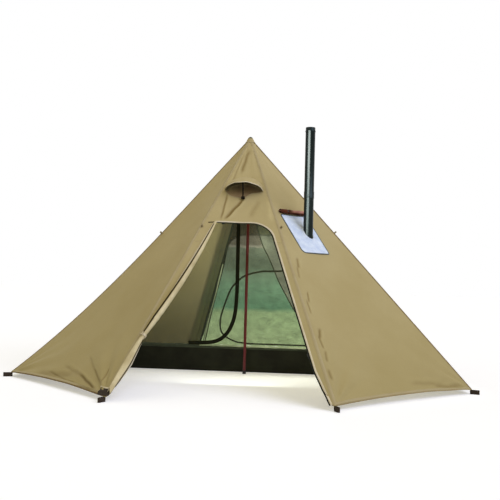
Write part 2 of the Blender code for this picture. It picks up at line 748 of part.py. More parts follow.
def vent_hood(panel, name):
    bm = bmesh.new()
    columns = 16
    rows = 5
    first = 0.08
    grid = []
    for c in range(columns + 1):
        angle = first + (pi - 2 * first) * c / columns
        grid.append([bm.verts.new(hood_point(panel, angle, r / rows)) for r in range(rows + 1)])
    for c in range(columns):
        for r in range(rows):
            bm.faces.new((grid[c][r], grid[c + 1][r], grid[c + 1][r + 1], grid[c][r + 1]))
    outward = panel_axes(panel)[2]
    bm.normal_update()
    total = sum((face.normal for face in bm.faces), Vector())
    if total.dot(outward) < 0:
        bmesh.ops.reverse_faces(bm, faces=bm.faces)
    shift = {}
    for vert in bm.verts:
        vert.normal_update()
        shift[vert] = vert.normal.copy()
    for column in grid:
        shift[column[0]] = outward
    inner = {}
    for column in grid:
        for vert in column:
            inner[vert] = bm.verts.new(vert.co - shift[vert] * CLOTH)
    for face in list(bm.faces):
        bm.faces.new([inner[vert] for vert in reversed(face.verts)])
    border = [edge for edge in bm.edges if len(edge.link_faces) == 1 and edge.verts[0] in shift]
    for edge in border:
        a, b = edge.verts
        loop = edge.link_loops[0]
        if loop.vert is a:
            a, b = b, a
        bm.faces.new((a, b, inner[b], inner[a]))
    return add_object(name, bm, material("fly"))


def vent_net(panel, name):
    """Insect netting sewn behind the vent's hole."""
    outline = []
    wider = 1.0 + NET_MARGIN / VENT_HOLE_HALF_WIDTH
    taller = 1.0 + NET_MARGIN / VENT_HOLE_DROP
    for a, u in vent_hole():
        outline.append((a * wider, VENT_CENTRE + (u - VENT_CENTRE) * taller))
    high = -CLOTH - LAID_GAP
    net = prism_on_panel(panel, outline, high - NET, high)
    return add_object(name, net, material("net"), smooth=False)


def vent_strut(panel, name):
    """A short prop from the vent's lower lip to the hood's rim, hinged at its foot."""
    across, _, outward = panel_axes(panel)
    foot_up = VENT_CENTRE - VENT_HOLE_DROP - STRUT_BASE_RADIUS - STRUT_LIP_GAP
    foot = at(panel, 0.0, foot_up, LAID_GAP + STRUT_BASE_RADIUS)
    rim = hood_point(panel, pi / 2, 1.0)
    normal = (rim - foot).normalized()
    side = normal.cross(across)
    reach = (rim - foot).length - CLOTH - LAID_GAP
    barrel = []
    for end in (-0.5, 0.5):
        ring = []
        for i in range(10):
            angle = 2 * pi * i / 10
            turned = side * (STRUT_BASE_RADIUS * cos(angle)) + normal * (STRUT_BASE_RADIUS * sin(angle))
            ring.append(foot + across * (end * STRUT_BASE_LENGTH) + turned)
        barrel.append(ring)
    obj = add_object(name, lofted(barrel), material("webbing"), origin=foot)
    rod = []
    for height in (0.0, reach):
        ring = []
        for i in range(8):
            angle = 2 * pi * i / 8
            ring.append(foot + normal * height
                        + across * (STRUT_RADIUS * cos(angle)) + side * (STRUT_RADIUS * sin(angle)))
        rod.append(ring)
    boolean(obj, add_cutter(f"{name}_rod_guide", lofted(rod)), "UNION")
    return obj


# Stove jack and pipe
def pipe_axis():
    seat = at(1, PIPE_ACROSS, PIPE_UP, LAID_GAP + JACK_CLOTH)
    return Vector((seat.x, seat.y, 0.0)), seat.z


def jack_sheet():
    """Heat-proof sheet laid over the panel's window, with a raised collar round the pipe."""
    columns = 5
    rows = 7
    bm = bmesh.new()
    layers = []
    for height in (LAID_GAP, LAID_GAP + JACK_CLOTH):
        layer = []
        for r in range(rows + 1):
            row = []
            for c in range(columns + 1):
                a = JACK_ACROSS - JACK_WIDTH / 2 + JACK_WIDTH * c / columns
                u = JACK_CENTRE - JACK_HEIGHT / 2 + JACK_HEIGHT * r / rows
                row.append(bm.verts.new(at(1, a, u, height)))
            layer.append(row)
        layers.append(layer)
    low, high = layers
    for r in range(rows):
        for c in range(columns):
            bm.faces.new((high[r][c], high[r][c + 1], high[r + 1][c + 1], high[r + 1][c]))
            bm.faces.new((low[r][c], low[r + 1][c], low[r + 1][c + 1], low[r][c + 1]))
        bm.faces.new((low[r][0], high[r][0], high[r + 1][0], low[r + 1][0]))
        bm.faces.new((high[r][columns], low[r][columns], low[r + 1][columns], high[r + 1][columns]))
    for c in range(columns):
        bm.faces.new((high[0][c], low[0][c], low[0][c + 1], high[0][c + 1]))
        bm.faces.new((low[rows][c], high[rows][c], high[rows][c + 1], low[rows][c + 1]))
    obj = add_object("stove_jack", bm, material("jack"), smooth=False)
    axis, seat = pipe_axis()
    lean = SLOPE / APOTHEM
    collar = []
    for i in range(PIPE_STEPS):
        angle = 2 * pi * i / PIPE_STEPS
        collar.append((PIPE_ACROSS + (PIPE_RADIUS + COLLAR_WIDTH) * cos(angle),
                       PIPE_UP + (PIPE_RADIUS * lean + COLLAR_WIDTH) * sin(angle)))
    ring = prism_on_panel(1, collar, LAID_GAP + JACK_CLOTH / 2, LAID_GAP + JACK_CLOTH + COLLAR_HEIGHT)
    boolean(obj, add_cutter("jack_collar_guide", ring), "UNION")
    bore_radius = PIPE_RADIUS + GAP
    bore_low = seat - JACK_HEIGHT
    bore_high = seat + JACK_HEIGHT
    bore_profile = [(0.0, bore_low), (bore_radius, bore_low), (bore_radius, bore_high), (0.0, bore_high)]
    bore = revolved(bore_profile, PIPE_STEPS, axis)
    boolean(obj, add_cutter("jack_bore", bore), "DIFFERENCE")
    outline = rounded_rectangle((JACK_ACROSS, JACK_CENTRE), JACK_WIDTH, JACK_HEIGHT, JACK_CORNER)
    trimmer = prism_on_panel(1, outline, -CUT_DEPTH, CUT_DEPTH)
    boolean(obj, add_cutter("jack_outline_guide", trimmer), "INTERSECT")
    return obj


def jack_roll():
    """The jack's rain flap, rolled up above it."""
    up_run = JACK_CENTRE + JACK_HEIGHT / 2 + JACK_ROLL_GAP + JACK_ROLL_RADIUS
    rings = []
    columns = 10
    steps = 12
    for c in range(columns + 1):
        share = c / columns
        a = JACK_ACROSS - JACK_WIDTH / 2 + JACK_WIDTH * share
        radius = JACK_ROLL_RADIUS * (1.0 - JACK_ROLL_WAVE * cos(4 * pi * share))
        ring = []
        for i in range(steps):
            angle = 2 * pi * i / steps
            ring.append(at(1, a, up_run + radius * cos(angle),
                           LAID_GAP + JACK_ROLL_RADIUS * (1.0 + JACK_ROLL_WAVE) + radius * sin(angle)))
        rings.append(ring)
    return add_object("jack_flap_roll", lofted(rings), material("jack_flap"))


def stove_pipe():
    """Two lengths of pipe: the lower one through the jack, and the upper one's socket over its end."""
    axis, seat = pipe_axis()
    finish = material("pipe", 0.35, 0.9)
    bore = PIPE_RADIUS - PIPE_WALL
    bottom = seat - PIPE_TAIL
    joint = seat + PIPE_JOINT_RISE
    shoulder = joint + PIPE_SOCKET
    low_top = shoulder - GAP
    profile = [(PIPE_RADIUS, bottom), (PIPE_RADIUS, low_top), (bore, low_top), (bore, bottom)]
    add_object("stove_pipe_lower", revolved(profile, PIPE_STEPS, axis), finish, origin=axis + UP * bottom)
    socket_bore = PIPE_RADIUS + GAP
    socket = socket_bore + PIPE_WALL
    bead = PIPE_RADIUS + PIPE_BEAD
    top = seat + PIPE_RISE
    bead_high = top - PIPE_BEAD_DROP
    bead_low = bead_high - PIPE_BEAD_LENGTH
    profile = [(socket, joint), (socket, shoulder), (PIPE_RADIUS, shoulder + PIPE_SHOULDER),
               (PIPE_RADIUS, bead_low), (bead, bead_low + PIPE_BEAD_SLOPE),
               (bead, bead_high - PIPE_BEAD_SLOPE), (PIPE_RADIUS, bead_high), (PIPE_RADIUS, top), (bore, top),
               (bore, shoulder), (socket_bore, shoulder), (socket_bore, joint)]
    add_object("stove_pipe_upper", revolved(profile, PIPE_STEPS, axis), finish, origin=axis + UP * joint)


# Pole
def pole():
    """Sections of tube, each with a spigot in the one below, on a plastic foot and under a tip."""
    bore = POLE_RADIUS - POLE_WALL
    spigot = bore - GAP
    spigot_bore = spigot - POLE_WALL
    tube_top = POLE_TOP - TIP_HEIGHT
    length = (tube_top - FOOT_HEIGHT) / POLE_SECTIONS
    finish = material("pole", 0.35, 0.6)
    foot_profile = [(0.0, 0.0), (FOOT_RADIUS - FOOT_EDGE, 0.0), (FOOT_RADIUS, FOOT_EDGE),
                    (POLE_RADIUS, FOOT_HEIGHT), (spigot, FOOT_HEIGHT),
                    (spigot, FOOT_HEIGHT + FOOT_PLUG), (0.0, FOOT_HEIGHT + FOOT_PLUG)]
    add_object("pole_foot", revolved(foot_profile, POLE_STEPS), material("plastic", 0.6))
    for section in range(POLE_SECTIONS):
        low = FOOT_HEIGHT + length * section + GAP
        high = FOOT_HEIGHT + length * (section + 1)
        if section == 0:
            profile = [(POLE_RADIUS, low), (POLE_RADIUS, high), (bore, high), (bore, low)]
        else:
            profile = [(spigot, low - SPIGOT_LENGTH), (spigot, low), (POLE_RADIUS, low),
                       (POLE_RADIUS, high), (bore, high), (bore, low + SPIGOT_SHOULDER),
                       (spigot_bore, low), (spigot_bore, low - SPIGOT_LENGTH)]
        add_object(f"pole_section_{section + 1}", revolved(profile, POLE_STEPS), finish,
                   origin=Vector((0.0, 0.0, low)))
    tip_low = tube_top + GAP
    tip_shoulder = POLE_TOP - TIP_ROUNDING * (1.0 - TIP_SHOULDER_SHARE) * 2.0
    tip_profile = [(0.0, tip_low - FOOT_PLUG), (spigot, tip_low - FOOT_PLUG), (spigot, tip_low),
                   (POLE_RADIUS, tip_low), (POLE_RADIUS, POLE_TOP - TIP_ROUNDING),
                   (POLE_RADIUS * TIP_SHOULDER_SHARE, tip_shoulder),
                   (POLE_RADIUS * TIP_FLAT_SHARE, POLE_TOP), (0.0, POLE_TOP)]
    add_object("pole_tip", revolved(tip_profile, POLE_STEPS), material("plastic", 0.6))


# Inner tent. Its walls are planes through neighbouring floor corners and one apex.
def inner_floor():
    inner_apothem = INNER_RADIUS * cos(HALF_TURN)
    inner_half = INNER_RADIUS * sin(HALF_TURN)
    return [Vector((inner_apothem, INNER_FRONT, 0.0)), Vector((inner_apothem, inner_half, 0.0)),
            Vector((inner_half, inner_apothem, 0.0)), Vector((-inner_half, inner_apothem, 0.0)),
            Vector((-inner_apothem, inner_half, 0.0)), Vector((-inner_apothem, INNER_FRONT, 0.0))]


WALL_NAMES = ("inner_right_wall", "inner_back_right_wall", "inner_back_wall",
              "inner_back_left_wall", "inner_left_wall", "inner_front_wall")


def wall_plane(wall):
    """Outward normal and distance of an inner wall's plane."""
    floor = inner_floor()
    a = floor[wall % 6]
    b = floor[(wall + 1) % 6]
    normal = (b - a).cross(INNER_APEX - a).normalized()
    return normal, normal.dot(a)


def inner_corner(corner, z, inset=0.0):
    """Where two neighbouring walls, both set in by a distance, meet at a height."""
    n1, c1 = wall_plane(corner - 1)
    n2, c2 = wall_plane(corner)
    d1 = c1 - inset - n1.z * z
    d2 = c2 - inset - n2.z * z
    det = n1.x * n2.y - n1.y * n2.x
    return Vector(((d1 * n2.y - d2 * n1.y) / det, (n1.x * d2 - n2.x * d1) / det, z))


def wall_point(wall, across_run, z, out=0.0):
    """The point of the front or back wall at an X and a height, held out from its face."""
    normal, distance = wall_plane(wall)
    y = (distance - normal.z * z - normal.x * across_run) / normal.y
    return Vector((across_run, y, z)) + normal * out


def inner_tub():
    """Bathtub groundsheet: the floor and its low walls in one piece, with a taped seam where they meet.
    Its walls are highest at the front."""
    outer_low = [inner_corner(i, 0.0) for i in range(6)]
    outer_high = [inner_corner(i, TUB_TOPS[i]) for i in range(6)]
    inner_high = [inner_corner(i, TUB_TOPS[i], TUB_CLOTH) for i in range(6)]
    seam_high = [inner_corner(i, TUB_CLOTH + TUB_SEAM_RISE, TUB_CLOTH) for i in range(6)]
    inner_low = [inner_corner(i, TUB_CLOTH, TUB_CLOTH + TUB_SEAM_LAP) for i in range(6)]
    return add_object("inner_tub", lofted([outer_low, outer_high, inner_high, seam_high, inner_low]),
                      material("tub", 0.5), smooth=False)


def inner_wall(wall, name, finish):
    """A netting wall from the tub's edge to the inner tent's top."""
    low_a = TUB_TOPS[wall] + GAP
    low_b = TUB_TOPS[(wall + 1) % 6] + GAP
    rings = []
    for z_a, z_b in ((low_a, low_b), (INNER_TOP, INNER_TOP)):
        out_a = inner_corner(wall, z_a)
        out_b = inner_corner(wall + 1, z_b)
        in_a = inner_corner(wall, z_a, NET)
        in_b = inner_corner(wall + 1, z_b, NET)
        along = (out_b - out_a).normalized()
        trim = along * GAP
        rings.append([out_a + trim, out_b - trim, in_b - trim, in_a + trim])
    return add_object(name, lofted(rings), finish, smooth=False)


def inner_cap():
    """Cloth cap that closes the inner tent's top, with the strap that hangs it from the fly's peak."""
    low = [inner_corner(i, INNER_TOP + GAP) for i in range(6)]
    high = [inner_corner(i, INNER_TOP + INNER_CAP_HEIGHT) for i in range(6)]
    obj = add_object("inner_hanger", lofted([low, high]), material("webbing"), smooth=False)
    start = sum(low + high, Vector()) / (len(low) + len(high))
    lead = Vector((0.0, INNER_APEX_BACK, INNER_TOP + HANGER_LEAD))
    end_z = TENT_HEIGHT - HANGER_BELOW_PEAK
    fly_face = (APOTHEM * HANGER_BELOW_PEAK - (CLOTH + GAP) * SLOPE) / RISE
    finish = Vector((0.0, fly_face - WEBBING / 2, end_z))
    rings = []
    for point in (start, lead, finish):
        ring = []
        for x, y in ((-0.5, -0.5), (0.5, -0.5), (0.5, 0.5), (-0.5, 0.5)):
            ring.append(point + Vector((x * HANGER_WIDTH, y * WEBBING, 0.0)))
        rings.append(ring)
    boolean(obj, add_cutter("hanger_strap_guide", lofted(rings)), "UNION")
    return obj


def smooth_path(points, steps):
    """Points on a smooth curve through the given plane points."""
    result = []
    last = len(points) - 1
    for i in range(last):
        p0 = points[max(i - 1, 0)]
        p1 = points[i]
        p2 = points[i + 1]
        p3 = points[min(i + 2, last)]
        for k in range(steps):
            t = k / steps
            result.append(tuple(
                0.5 * (2 * b + (c - a) * t + (2 * a - 5 * b + 4 * c - d) * t * t
                       + (3 * b - a - 3 * c + d) * t ** 3)
                for a, b, c, d in zip(p0, p1, p2, p3)))
    result.append(points[-1])
    return result


def inner_zip(name, wall, path, width, out_low, steps):
    """A zip sewn on an inner wall, along a path of (x, z) points."""
    points = smooth_path(path, steps)
    rings = []
    for i, (x, z) in enumerate(points):
        side = turned_left(points, i)
        ring = []
        for d, out in ((-0.5, 0.0), (0.5, 0.0), (0.5, 1.0), (-0.5, 1.0)):
            ring.append(wall_point(wall, x + side[0] * d * width, z + side[1] * d * width,
                                   out_low + out * INNER_ZIP_THICK))
        rings.append(ring)
    return add_object(name, lofted(rings), material("zip"))


def front_zip_path():
    """Straight down the middle of the front wall, then sweeping out along the tub's edge."""
    x = -FRONT_ZIP_ACROSS
    edge = TUB_TOPS[0] + ZIP_FOOT_GAP
    return [(x, INNER_TOP - FRONT_ZIP_BELOW_CAP), (x, edge + 0.59), (x, edge + 0.372),
            (x - 0.010, edge + 0.212), (x - 0.040, edge + 0.112), (x - 0.088, edge + 0.047),
            (x - 0.148, edge + 0.015), (x - 0.228, edge + 0.005), (x - 0.328, edge + 0.002)]


def rear_zip_path():
    """Across the back wall from near its right ridge, round the door's side and along the tub's edge."""
    top = REAR_ZIP_TOP
    edge = TUB_TOPS[2] + ZIP_FOOT_GAP
    high_end = inner_corner(2, top).x - REAR_ZIP_RIDGE_GAP
    low_end = inner_corner(2, edge).x - REAR_ZIP_END_GAP
    return [(high_end, top), (0.152, top - 0.003), (0.048, top - 0.009),
            (-0.053, top - 0.033), (-0.117, top - 0.071), (-0.186, top - 0.142), (-0.238, top - 0.247),
            (-0.288, edge + 0.222), (-0.298, edge + 0.122), (-0.268, edge + 0.064), (-0.190, edge + 0.018),
            (-0.100, edge + 0.003), (-0.012, edge), (0.200, edge), (low_end, edge)]


def inner_slider(name, wall, x, z, width, base, top, level):
    """Slider of an inner zip, resting on the zip's face."""
    half_long = SLIDER_LENGTH / 2
    half_wide = width * SLIDER_WIDTH_SHARE
    if level:
        half_x, half_z = half_long, half_wide
    else:
        half_x, half_z = half_wide, half_long
    rings = []
    for out, shrink in ((base, 1.0), (top, SLIDER_TOP_SHARE)):
        rings.append([wall_point(wall, x + sx * half_x * shrink, z + sz * half_z * shrink, out)
                      for sx, sz in ((-1, -1), (1, -1), (1, 1), (-1, 1))])
    return add_object(name, lofted(rings), material("zip"), origin=wall_point(wall, x, z, base))


def build():
    for obj in list(bpy.data.objects):
        bpy.data.objects.remove(obj, do_unlink=True)
    names = ("fly_front", "fly_front_right", "fly_right", "fly_back_right",
             "fly_back", "fly_back_left", "fly_left", "fly_front_left")
    for panel, name in enumerate(names):
        fly_panel(panel, name)
    peak_cap()
    for ridge in range(SIDES):
        peg_loop(ridge, f"peg_loop_{ridge + 1}")
    for panel, side in ((0, "front"), (SIDES // 2, "rear")):
        door_zip(panel, f"{side}_door_zip")
        corner, _ = door_corner()
        right_low = (door_right_edge(LOWER_SLIDER_UP), LOWER_SLIDER_UP)
        right_high = (door_right_edge(corner[1]), corner[1])
        door_slider(panel, f"{side}_lower_slider", right_low, right_high, 0.0)
        top_right = (corner[0], DOOR_TOP)
        top_left = (UPPER_SLIDER_INSET - DOOR_TOP_HALF_WIDTH, DOOR_TOP)
        door_slider(panel, f"{side}_upper_slider", top_right, top_left, 1.0)
        door_roll(panel, f"{side}_door_roll")
        door_tie(panel, f"{side}_door_tie")
        vent_hood(panel, f"{side}_vent_hood")
        vent_net(panel, f"{side}_vent_net")
        vent_strut(panel, f"{side}_vent_strut")
    jack_sheet()
    jack_roll()
    stove_pipe()
    pole()
    inner_tub()
    for wall, name in enumerate(WALL_NAMES):
        inner_wall(wall, name, material("green" if wall == 2 else "net"))
    inner_cap()
    outer_face = INNER_ZIP_THICK + 2 * GAP
    inner_zip("inner_front_zip", 5, front_zip_path(), FRONT_ZIP_WIDTH, GAP, 3)
    inner_slider("inner_front_slider", 5, -FRONT_ZIP_ACROSS, FRONT_SLIDER_HEIGHT, FRONT_ZIP_WIDTH,
                 outer_face, outer_face + INNER_SLIDER_HEIGHT, False)
    inner_face = -NET - outer_face
    inner_zip("inner_rear_zip", 2, rear_zip_path(), REAR_ZIP_WIDTH, inner_face + GAP, 2)
    inner_slider("inner_rear_slider", 2, REAR_SLIDER_ACROSS, TUB_TOPS[2] + ZIP_FOOT_GAP, REAR_ZIP_WIDTH,
                 inner_face, inner_face - INNER_SLIDER_HEIGHT, True)


build()
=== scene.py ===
"""Looks of an eight-sided tipi tent with a stove jack and a half inner tent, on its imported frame.

Metres, +Z up. The pole stands on the origin and the front doorway faces -Y.
"""

import json
from math import atan2, ceil, cos, hypot, pi, radians, sin

import bmesh
import bpy
import numpy as np
from mathutils import Euler, Matrix, Vector
from mathutils.geometry import delaunay_2d_cdt

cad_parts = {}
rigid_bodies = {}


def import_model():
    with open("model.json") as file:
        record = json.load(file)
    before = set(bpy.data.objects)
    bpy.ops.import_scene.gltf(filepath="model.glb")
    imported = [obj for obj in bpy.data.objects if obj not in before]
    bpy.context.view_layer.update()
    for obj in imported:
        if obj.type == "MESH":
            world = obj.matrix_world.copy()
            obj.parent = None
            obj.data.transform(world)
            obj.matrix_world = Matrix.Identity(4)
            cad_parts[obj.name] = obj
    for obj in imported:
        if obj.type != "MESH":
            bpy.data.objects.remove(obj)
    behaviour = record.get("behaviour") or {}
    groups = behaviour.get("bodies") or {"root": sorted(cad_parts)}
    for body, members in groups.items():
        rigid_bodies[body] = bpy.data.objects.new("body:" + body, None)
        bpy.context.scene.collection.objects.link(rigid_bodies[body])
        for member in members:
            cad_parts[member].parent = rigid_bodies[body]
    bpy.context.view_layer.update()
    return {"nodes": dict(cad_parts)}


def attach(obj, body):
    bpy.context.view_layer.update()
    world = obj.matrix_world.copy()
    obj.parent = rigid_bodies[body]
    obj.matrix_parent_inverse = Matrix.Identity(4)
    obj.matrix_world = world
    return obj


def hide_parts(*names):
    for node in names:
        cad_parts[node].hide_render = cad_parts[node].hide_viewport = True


# Camera, light and floor
# The tent stands in a plain studio. The camera has the photograph's place and lens, a broad cool
# lamp stands to the right of it, and the floor is a pale sheet that keeps the tent's shadow.
LENS = 54.563
SENSOR_WIDTH = 36.0
CAMERA_PLACE = (0.45844, -5.11121, 0.60549)
CAMERA_TURN = 0.08611
CAMERA_TILT = 0.04473
CAMERA_ROLL = 0.02724
FLOOR_REACH = 60.0
WHITE = (1.0, 1.0, 1.0, 1.0)

for leftover in list(bpy.data.objects):
    bpy.data.objects.remove(leftover, do_unlink=True)
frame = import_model()
scene = bpy.context.scene
scene.view_settings.view_transform = "Standard"

camera = bpy.data.objects.new("camera", bpy.data.cameras.new("camera"))
camera.data.lens = LENS
camera.data.sensor_width = SENSOR_WIDTH
aim = Euler((0.0, 0.0, CAMERA_TURN)).to_matrix() @ Euler((pi / 2 + CAMERA_TILT, 0.0, 0.0)).to_matrix()
aim = aim @ Euler((0.0, 0.0, CAMERA_ROLL)).to_matrix()
camera.matrix_world = Matrix.Translation(CAMERA_PLACE) @ aim.to_4x4()
scene.collection.objects.link(camera)
scene.camera = camera


def hang_lamp(name, kind, strength, colour, toward, place=(0.0, 0.0, 0.0)):
    """A lamp at a place, shining toward a direction."""
    lamp = bpy.data.objects.new(name, bpy.data.lights.new(name, kind))
    lamp.data.energy = strength
    lamp.data.color = colour
    lamp.location = place
    lamp.rotation_euler = Vector(toward).to_track_quat("-Z", "Y").to_euler()
    scene.collection.objects.link(lamp)
    return lamp


# Two lamps so far off that their light is even, each softened by its spread in degrees.
for name, strength, colour, toward, spread in (
        ("right_lamp", 1.60, (0.92, 0.98, 1.34), (-0.62, 0.50, -0.60), 50),
        ("left_lamp", 0.24, (1.0, 0.90, 0.50), (0.75, 0.55, -0.50), 60)):
    hang_lamp(name, "SUN", strength, colour, toward).data.angle = radians(spread)
# Three small ones stand for the daylight inside, each with its strength, place and size.
for name, kind, strength, place, size in (("porch_lamp", "AREA", 3.0, (0.0, -0.66, 0.36), 0.56),
                                          ("inside_lamp", "POINT", 42.0, (0.36, 0.32, 0.24), 0.16),
                                          ("peak_lamp", "POINT", 4.4, (0.06, 0.44, 0.84), 0.10)):
    inside = hang_lamp(name, kind, strength, (0.95, 1.0, 0.88), (0.0, 1.0, 0.12), place)
    setattr(inside.data, "size" if kind == "AREA" else "shadow_soft_size", size)
    inside.visible_camera = inside.visible_glossy = False


def feed(tree, node, given):
    """Link or set a node's inputs, each told by its name or number."""
    for socket, value in dict(given).items():
        if isinstance(value, bpy.types.NodeSocket):
            tree.links.new(value, node.inputs[socket])
        else:
            node.inputs[socket].default_value = value
    return node


def wired(tree, kind, given=(), **settings):
    """A new node with its settings, and with each given input linked or set."""
    node = tree.nodes.new(kind)
    for name, value in settings.items():
        setattr(node, name, value)
    return feed(tree, node, given)


def show_apart(tree, output, lighting, seen):
    """Show one shader directly, through glass and in mirrors, and light the scene by another."""
    ray = wired(tree, "ShaderNodeLightPath").outputs
    direct = wired(tree, "ShaderNodeMath", {0: ray["Is Camera Ray"], 1: ray["Is Glossy Ray"]})
    terms = {0: direct.outputs[0], 1: ray["Is Transmission Ray"]}
    shown = wired(tree, "ShaderNodeMath", terms, use_clamp=True)
    mixed = wired(tree, "ShaderNodeMixShader", {0: shown.outputs[0], 1: lighting, 2: seen})
    feed(tree, tree.nodes[output], {"Surface": mixed.outputs[0]})


def new_finish(name):
    """A new material, its node tree and its main shader."""
    finish = bpy.data.materials.new(name)
    finish.use_nodes = True
    return finish, finish.node_tree, finish.node_tree.nodes["Principled BSDF"]


room = bpy.data.worlds.new("room")
scene.world = room
room.use_nodes = True
tree = room.node_tree
sky = feed(tree, tree.nodes["Background"], {"Color": (1.0, 0.94, 0.71, 1.0), "Strength": 0.525})
white = wired(tree, "ShaderNodeBackground", {"Color": WHITE, "Strength": 1.0})
show_apart(tree, "World Output", sky.outputs[0], white.outputs[0])

floor_corners = [(x * FLOOR_REACH, y * FLOOR_REACH, 0.0) for x, y in ((-1, -1), (1, -1), (1, 1), (-1, 1))]
floor_mesh = bpy.data.meshes.new("floor")
floor_mesh.from_pydata(floor_corners, [], [(0, 1, 2, 3)])
floor = bpy.data.objects.new("floor", floor_mesh)
scene.collection.objects.link(floor)
pale, tree, shown = new_finish("pale_floor")
feed(tree, shown, {"Base Color": (0.86, 0.86, 0.87, 1.0), "Roughness": 0.9, "Specular IOR Level": 0.0,
                   "Emission Color": WHITE, "Emission Strength": 0.30})
bounce = wired(tree, "ShaderNodeBsdfDiffuse", {"Color": (0.42, 0.42, 0.42, 1.0)})
show_apart(tree, "Material Output", bounce.outputs[0], shown.outputs[0])
floor_mesh.materials.append(pale)

# Fly
# Eight gores of coated woven cloth, cut as tall triangles and sewn along eight ridges. The pole pushes
# them tight, so they hang in slow waves with fans of folds at the pegged corners and below the peak.
SIDES = 8
HALF_TURN = pi / SIDES
TENT_HEIGHT = 1.60
CORNER_RADIUS = 1.50
HEM_HEIGHT = 0.0253
HEM_RISE = 0.015
RIDGE_SAG = (0.0, 0.0, 0.0, 0.020, 0.0, 0.0, 0.020, 0.045)
SAG_SKEW = 0.6
GORE_DISH = (0.0, 0.006, 0.010, 0.012, 0.0, 0.012, 0.012, 0.012)
APOTHEM = CORNER_RADIUS * cos(HALF_TURN)
RISE = TENT_HEIGHT - HEM_HEIGHT
SLOPE = hypot(APOTHEM, RISE)
HEM_HALF_WIDTH = CORNER_RADIUS * sin(HALF_TURN)
GORE_TOP = 0.985
SKIN = 0.0012
GORE_NAMES = ("front", "front_right", "right", "back_right", "back", "back_left", "left", "front_left")
FRONT, REAR, JACK_GORE = 0, 4, 1


def eased(x):
    """A smooth step from 0 to 1."""
    x = np.clip(x, 0.0, 1.0)
    return x * x * (3.0 - 2.0 * x)


def gore_level(gore):
    """The level direction out of a gore's middle."""
    middle = -pi / 2 + 2 * HALF_TURN * gore
    return np.array((cos(middle), sin(middle), 0.0))


def out_of_gore(gore):
    """A gore's outward direction."""
    return gore_level(gore) * (RISE / SLOPE) + np.array((0.0, 0.0, APOTHEM / SLOPE))


def corner_angle(corner):
    """The direction of a pegged corner, seen from above."""
    return -pi / 2 - HALF_TURN + 2 * HALF_TURN * corner


def ridge_line(ridge, t, lift=0.0):
    """Points on a ridge, from its pegged corner at t = 0 to the peak at t = 1."""
    ridge %= SIDES
    t = np.asarray(t, float)
    angle = corner_angle(ridge)
    length = hypot(CORNER_RADIUS, RISE)
    normal = np.array((cos(angle) * RISE / length, sin(angle) * RISE / length, CORNER_RADIUS / length))
    reach = CORNER_RADIUS * (1.0 - t)
    point = np.stack((reach * cos(angle), reach * sin(angle), HEM_HEIGHT + RISE * t), -1)
    sag = RIDGE_SAG[ridge] * 4.0 * t * (1.0 - t) * (1.0 + SAG_SKEW * (1.0 - 2.0 * t))
    mitre = out_of_gore(ridge).dot(normal)
    return point + normal * (np.asarray(lift / mitre - sag)[..., None])


def gore_edges(gore, t):
    """Where a gore's two ridges lie across it."""
    level = gore_level(gore)
    across = np.array((-level[1], level[0], 0.0))
    return ridge_line(gore, t) @ across, ridge_line(gore + 1, t) @ across


def corner_polar(s, t, corner):
    """Distance from a lower corner and the share of the turn from the hem to the ridge."""
    run = HEM_HALF_WIDTH * (1.0 - corner * s) * (1.0 - t)
    lift = SLOPE * t
    return np.hypot(run, lift), np.clip(np.arctan2(lift, run) / atan2(SLOPE, HEM_HALF_WIDTH), 0.0, 1.0)


CORNER_FOLD_DEPTH = 0.006
CORNER_FOLD_REACH = 0.45
CORNER_FOLD_START = 0.1125


def frame_fold(gore, s, t):
    """The slow hollow and corner folds that the frame's gores already have."""
    if GORE_DISH[gore] == 0.0:
        return np.zeros_like(s)
    side = np.clip(1.0 - s * s, 0.0, None)
    depth = GORE_DISH[gore] * side * 4.0 * t * (1.0 - t)
    for corner in (-1.0, 1.0):
        reach, spread = corner_polar(s, t, corner)
        fade = np.clip(1.0 - reach / CORNER_FOLD_REACH, 0.0, None)
        fade = fade * np.clip(reach / CORNER_FOLD_START, None, 1.0)
        depth = depth + CORNER_FOLD_DEPTH * fade * np.sin(3 * pi * spread) * np.sqrt(side)
    return depth


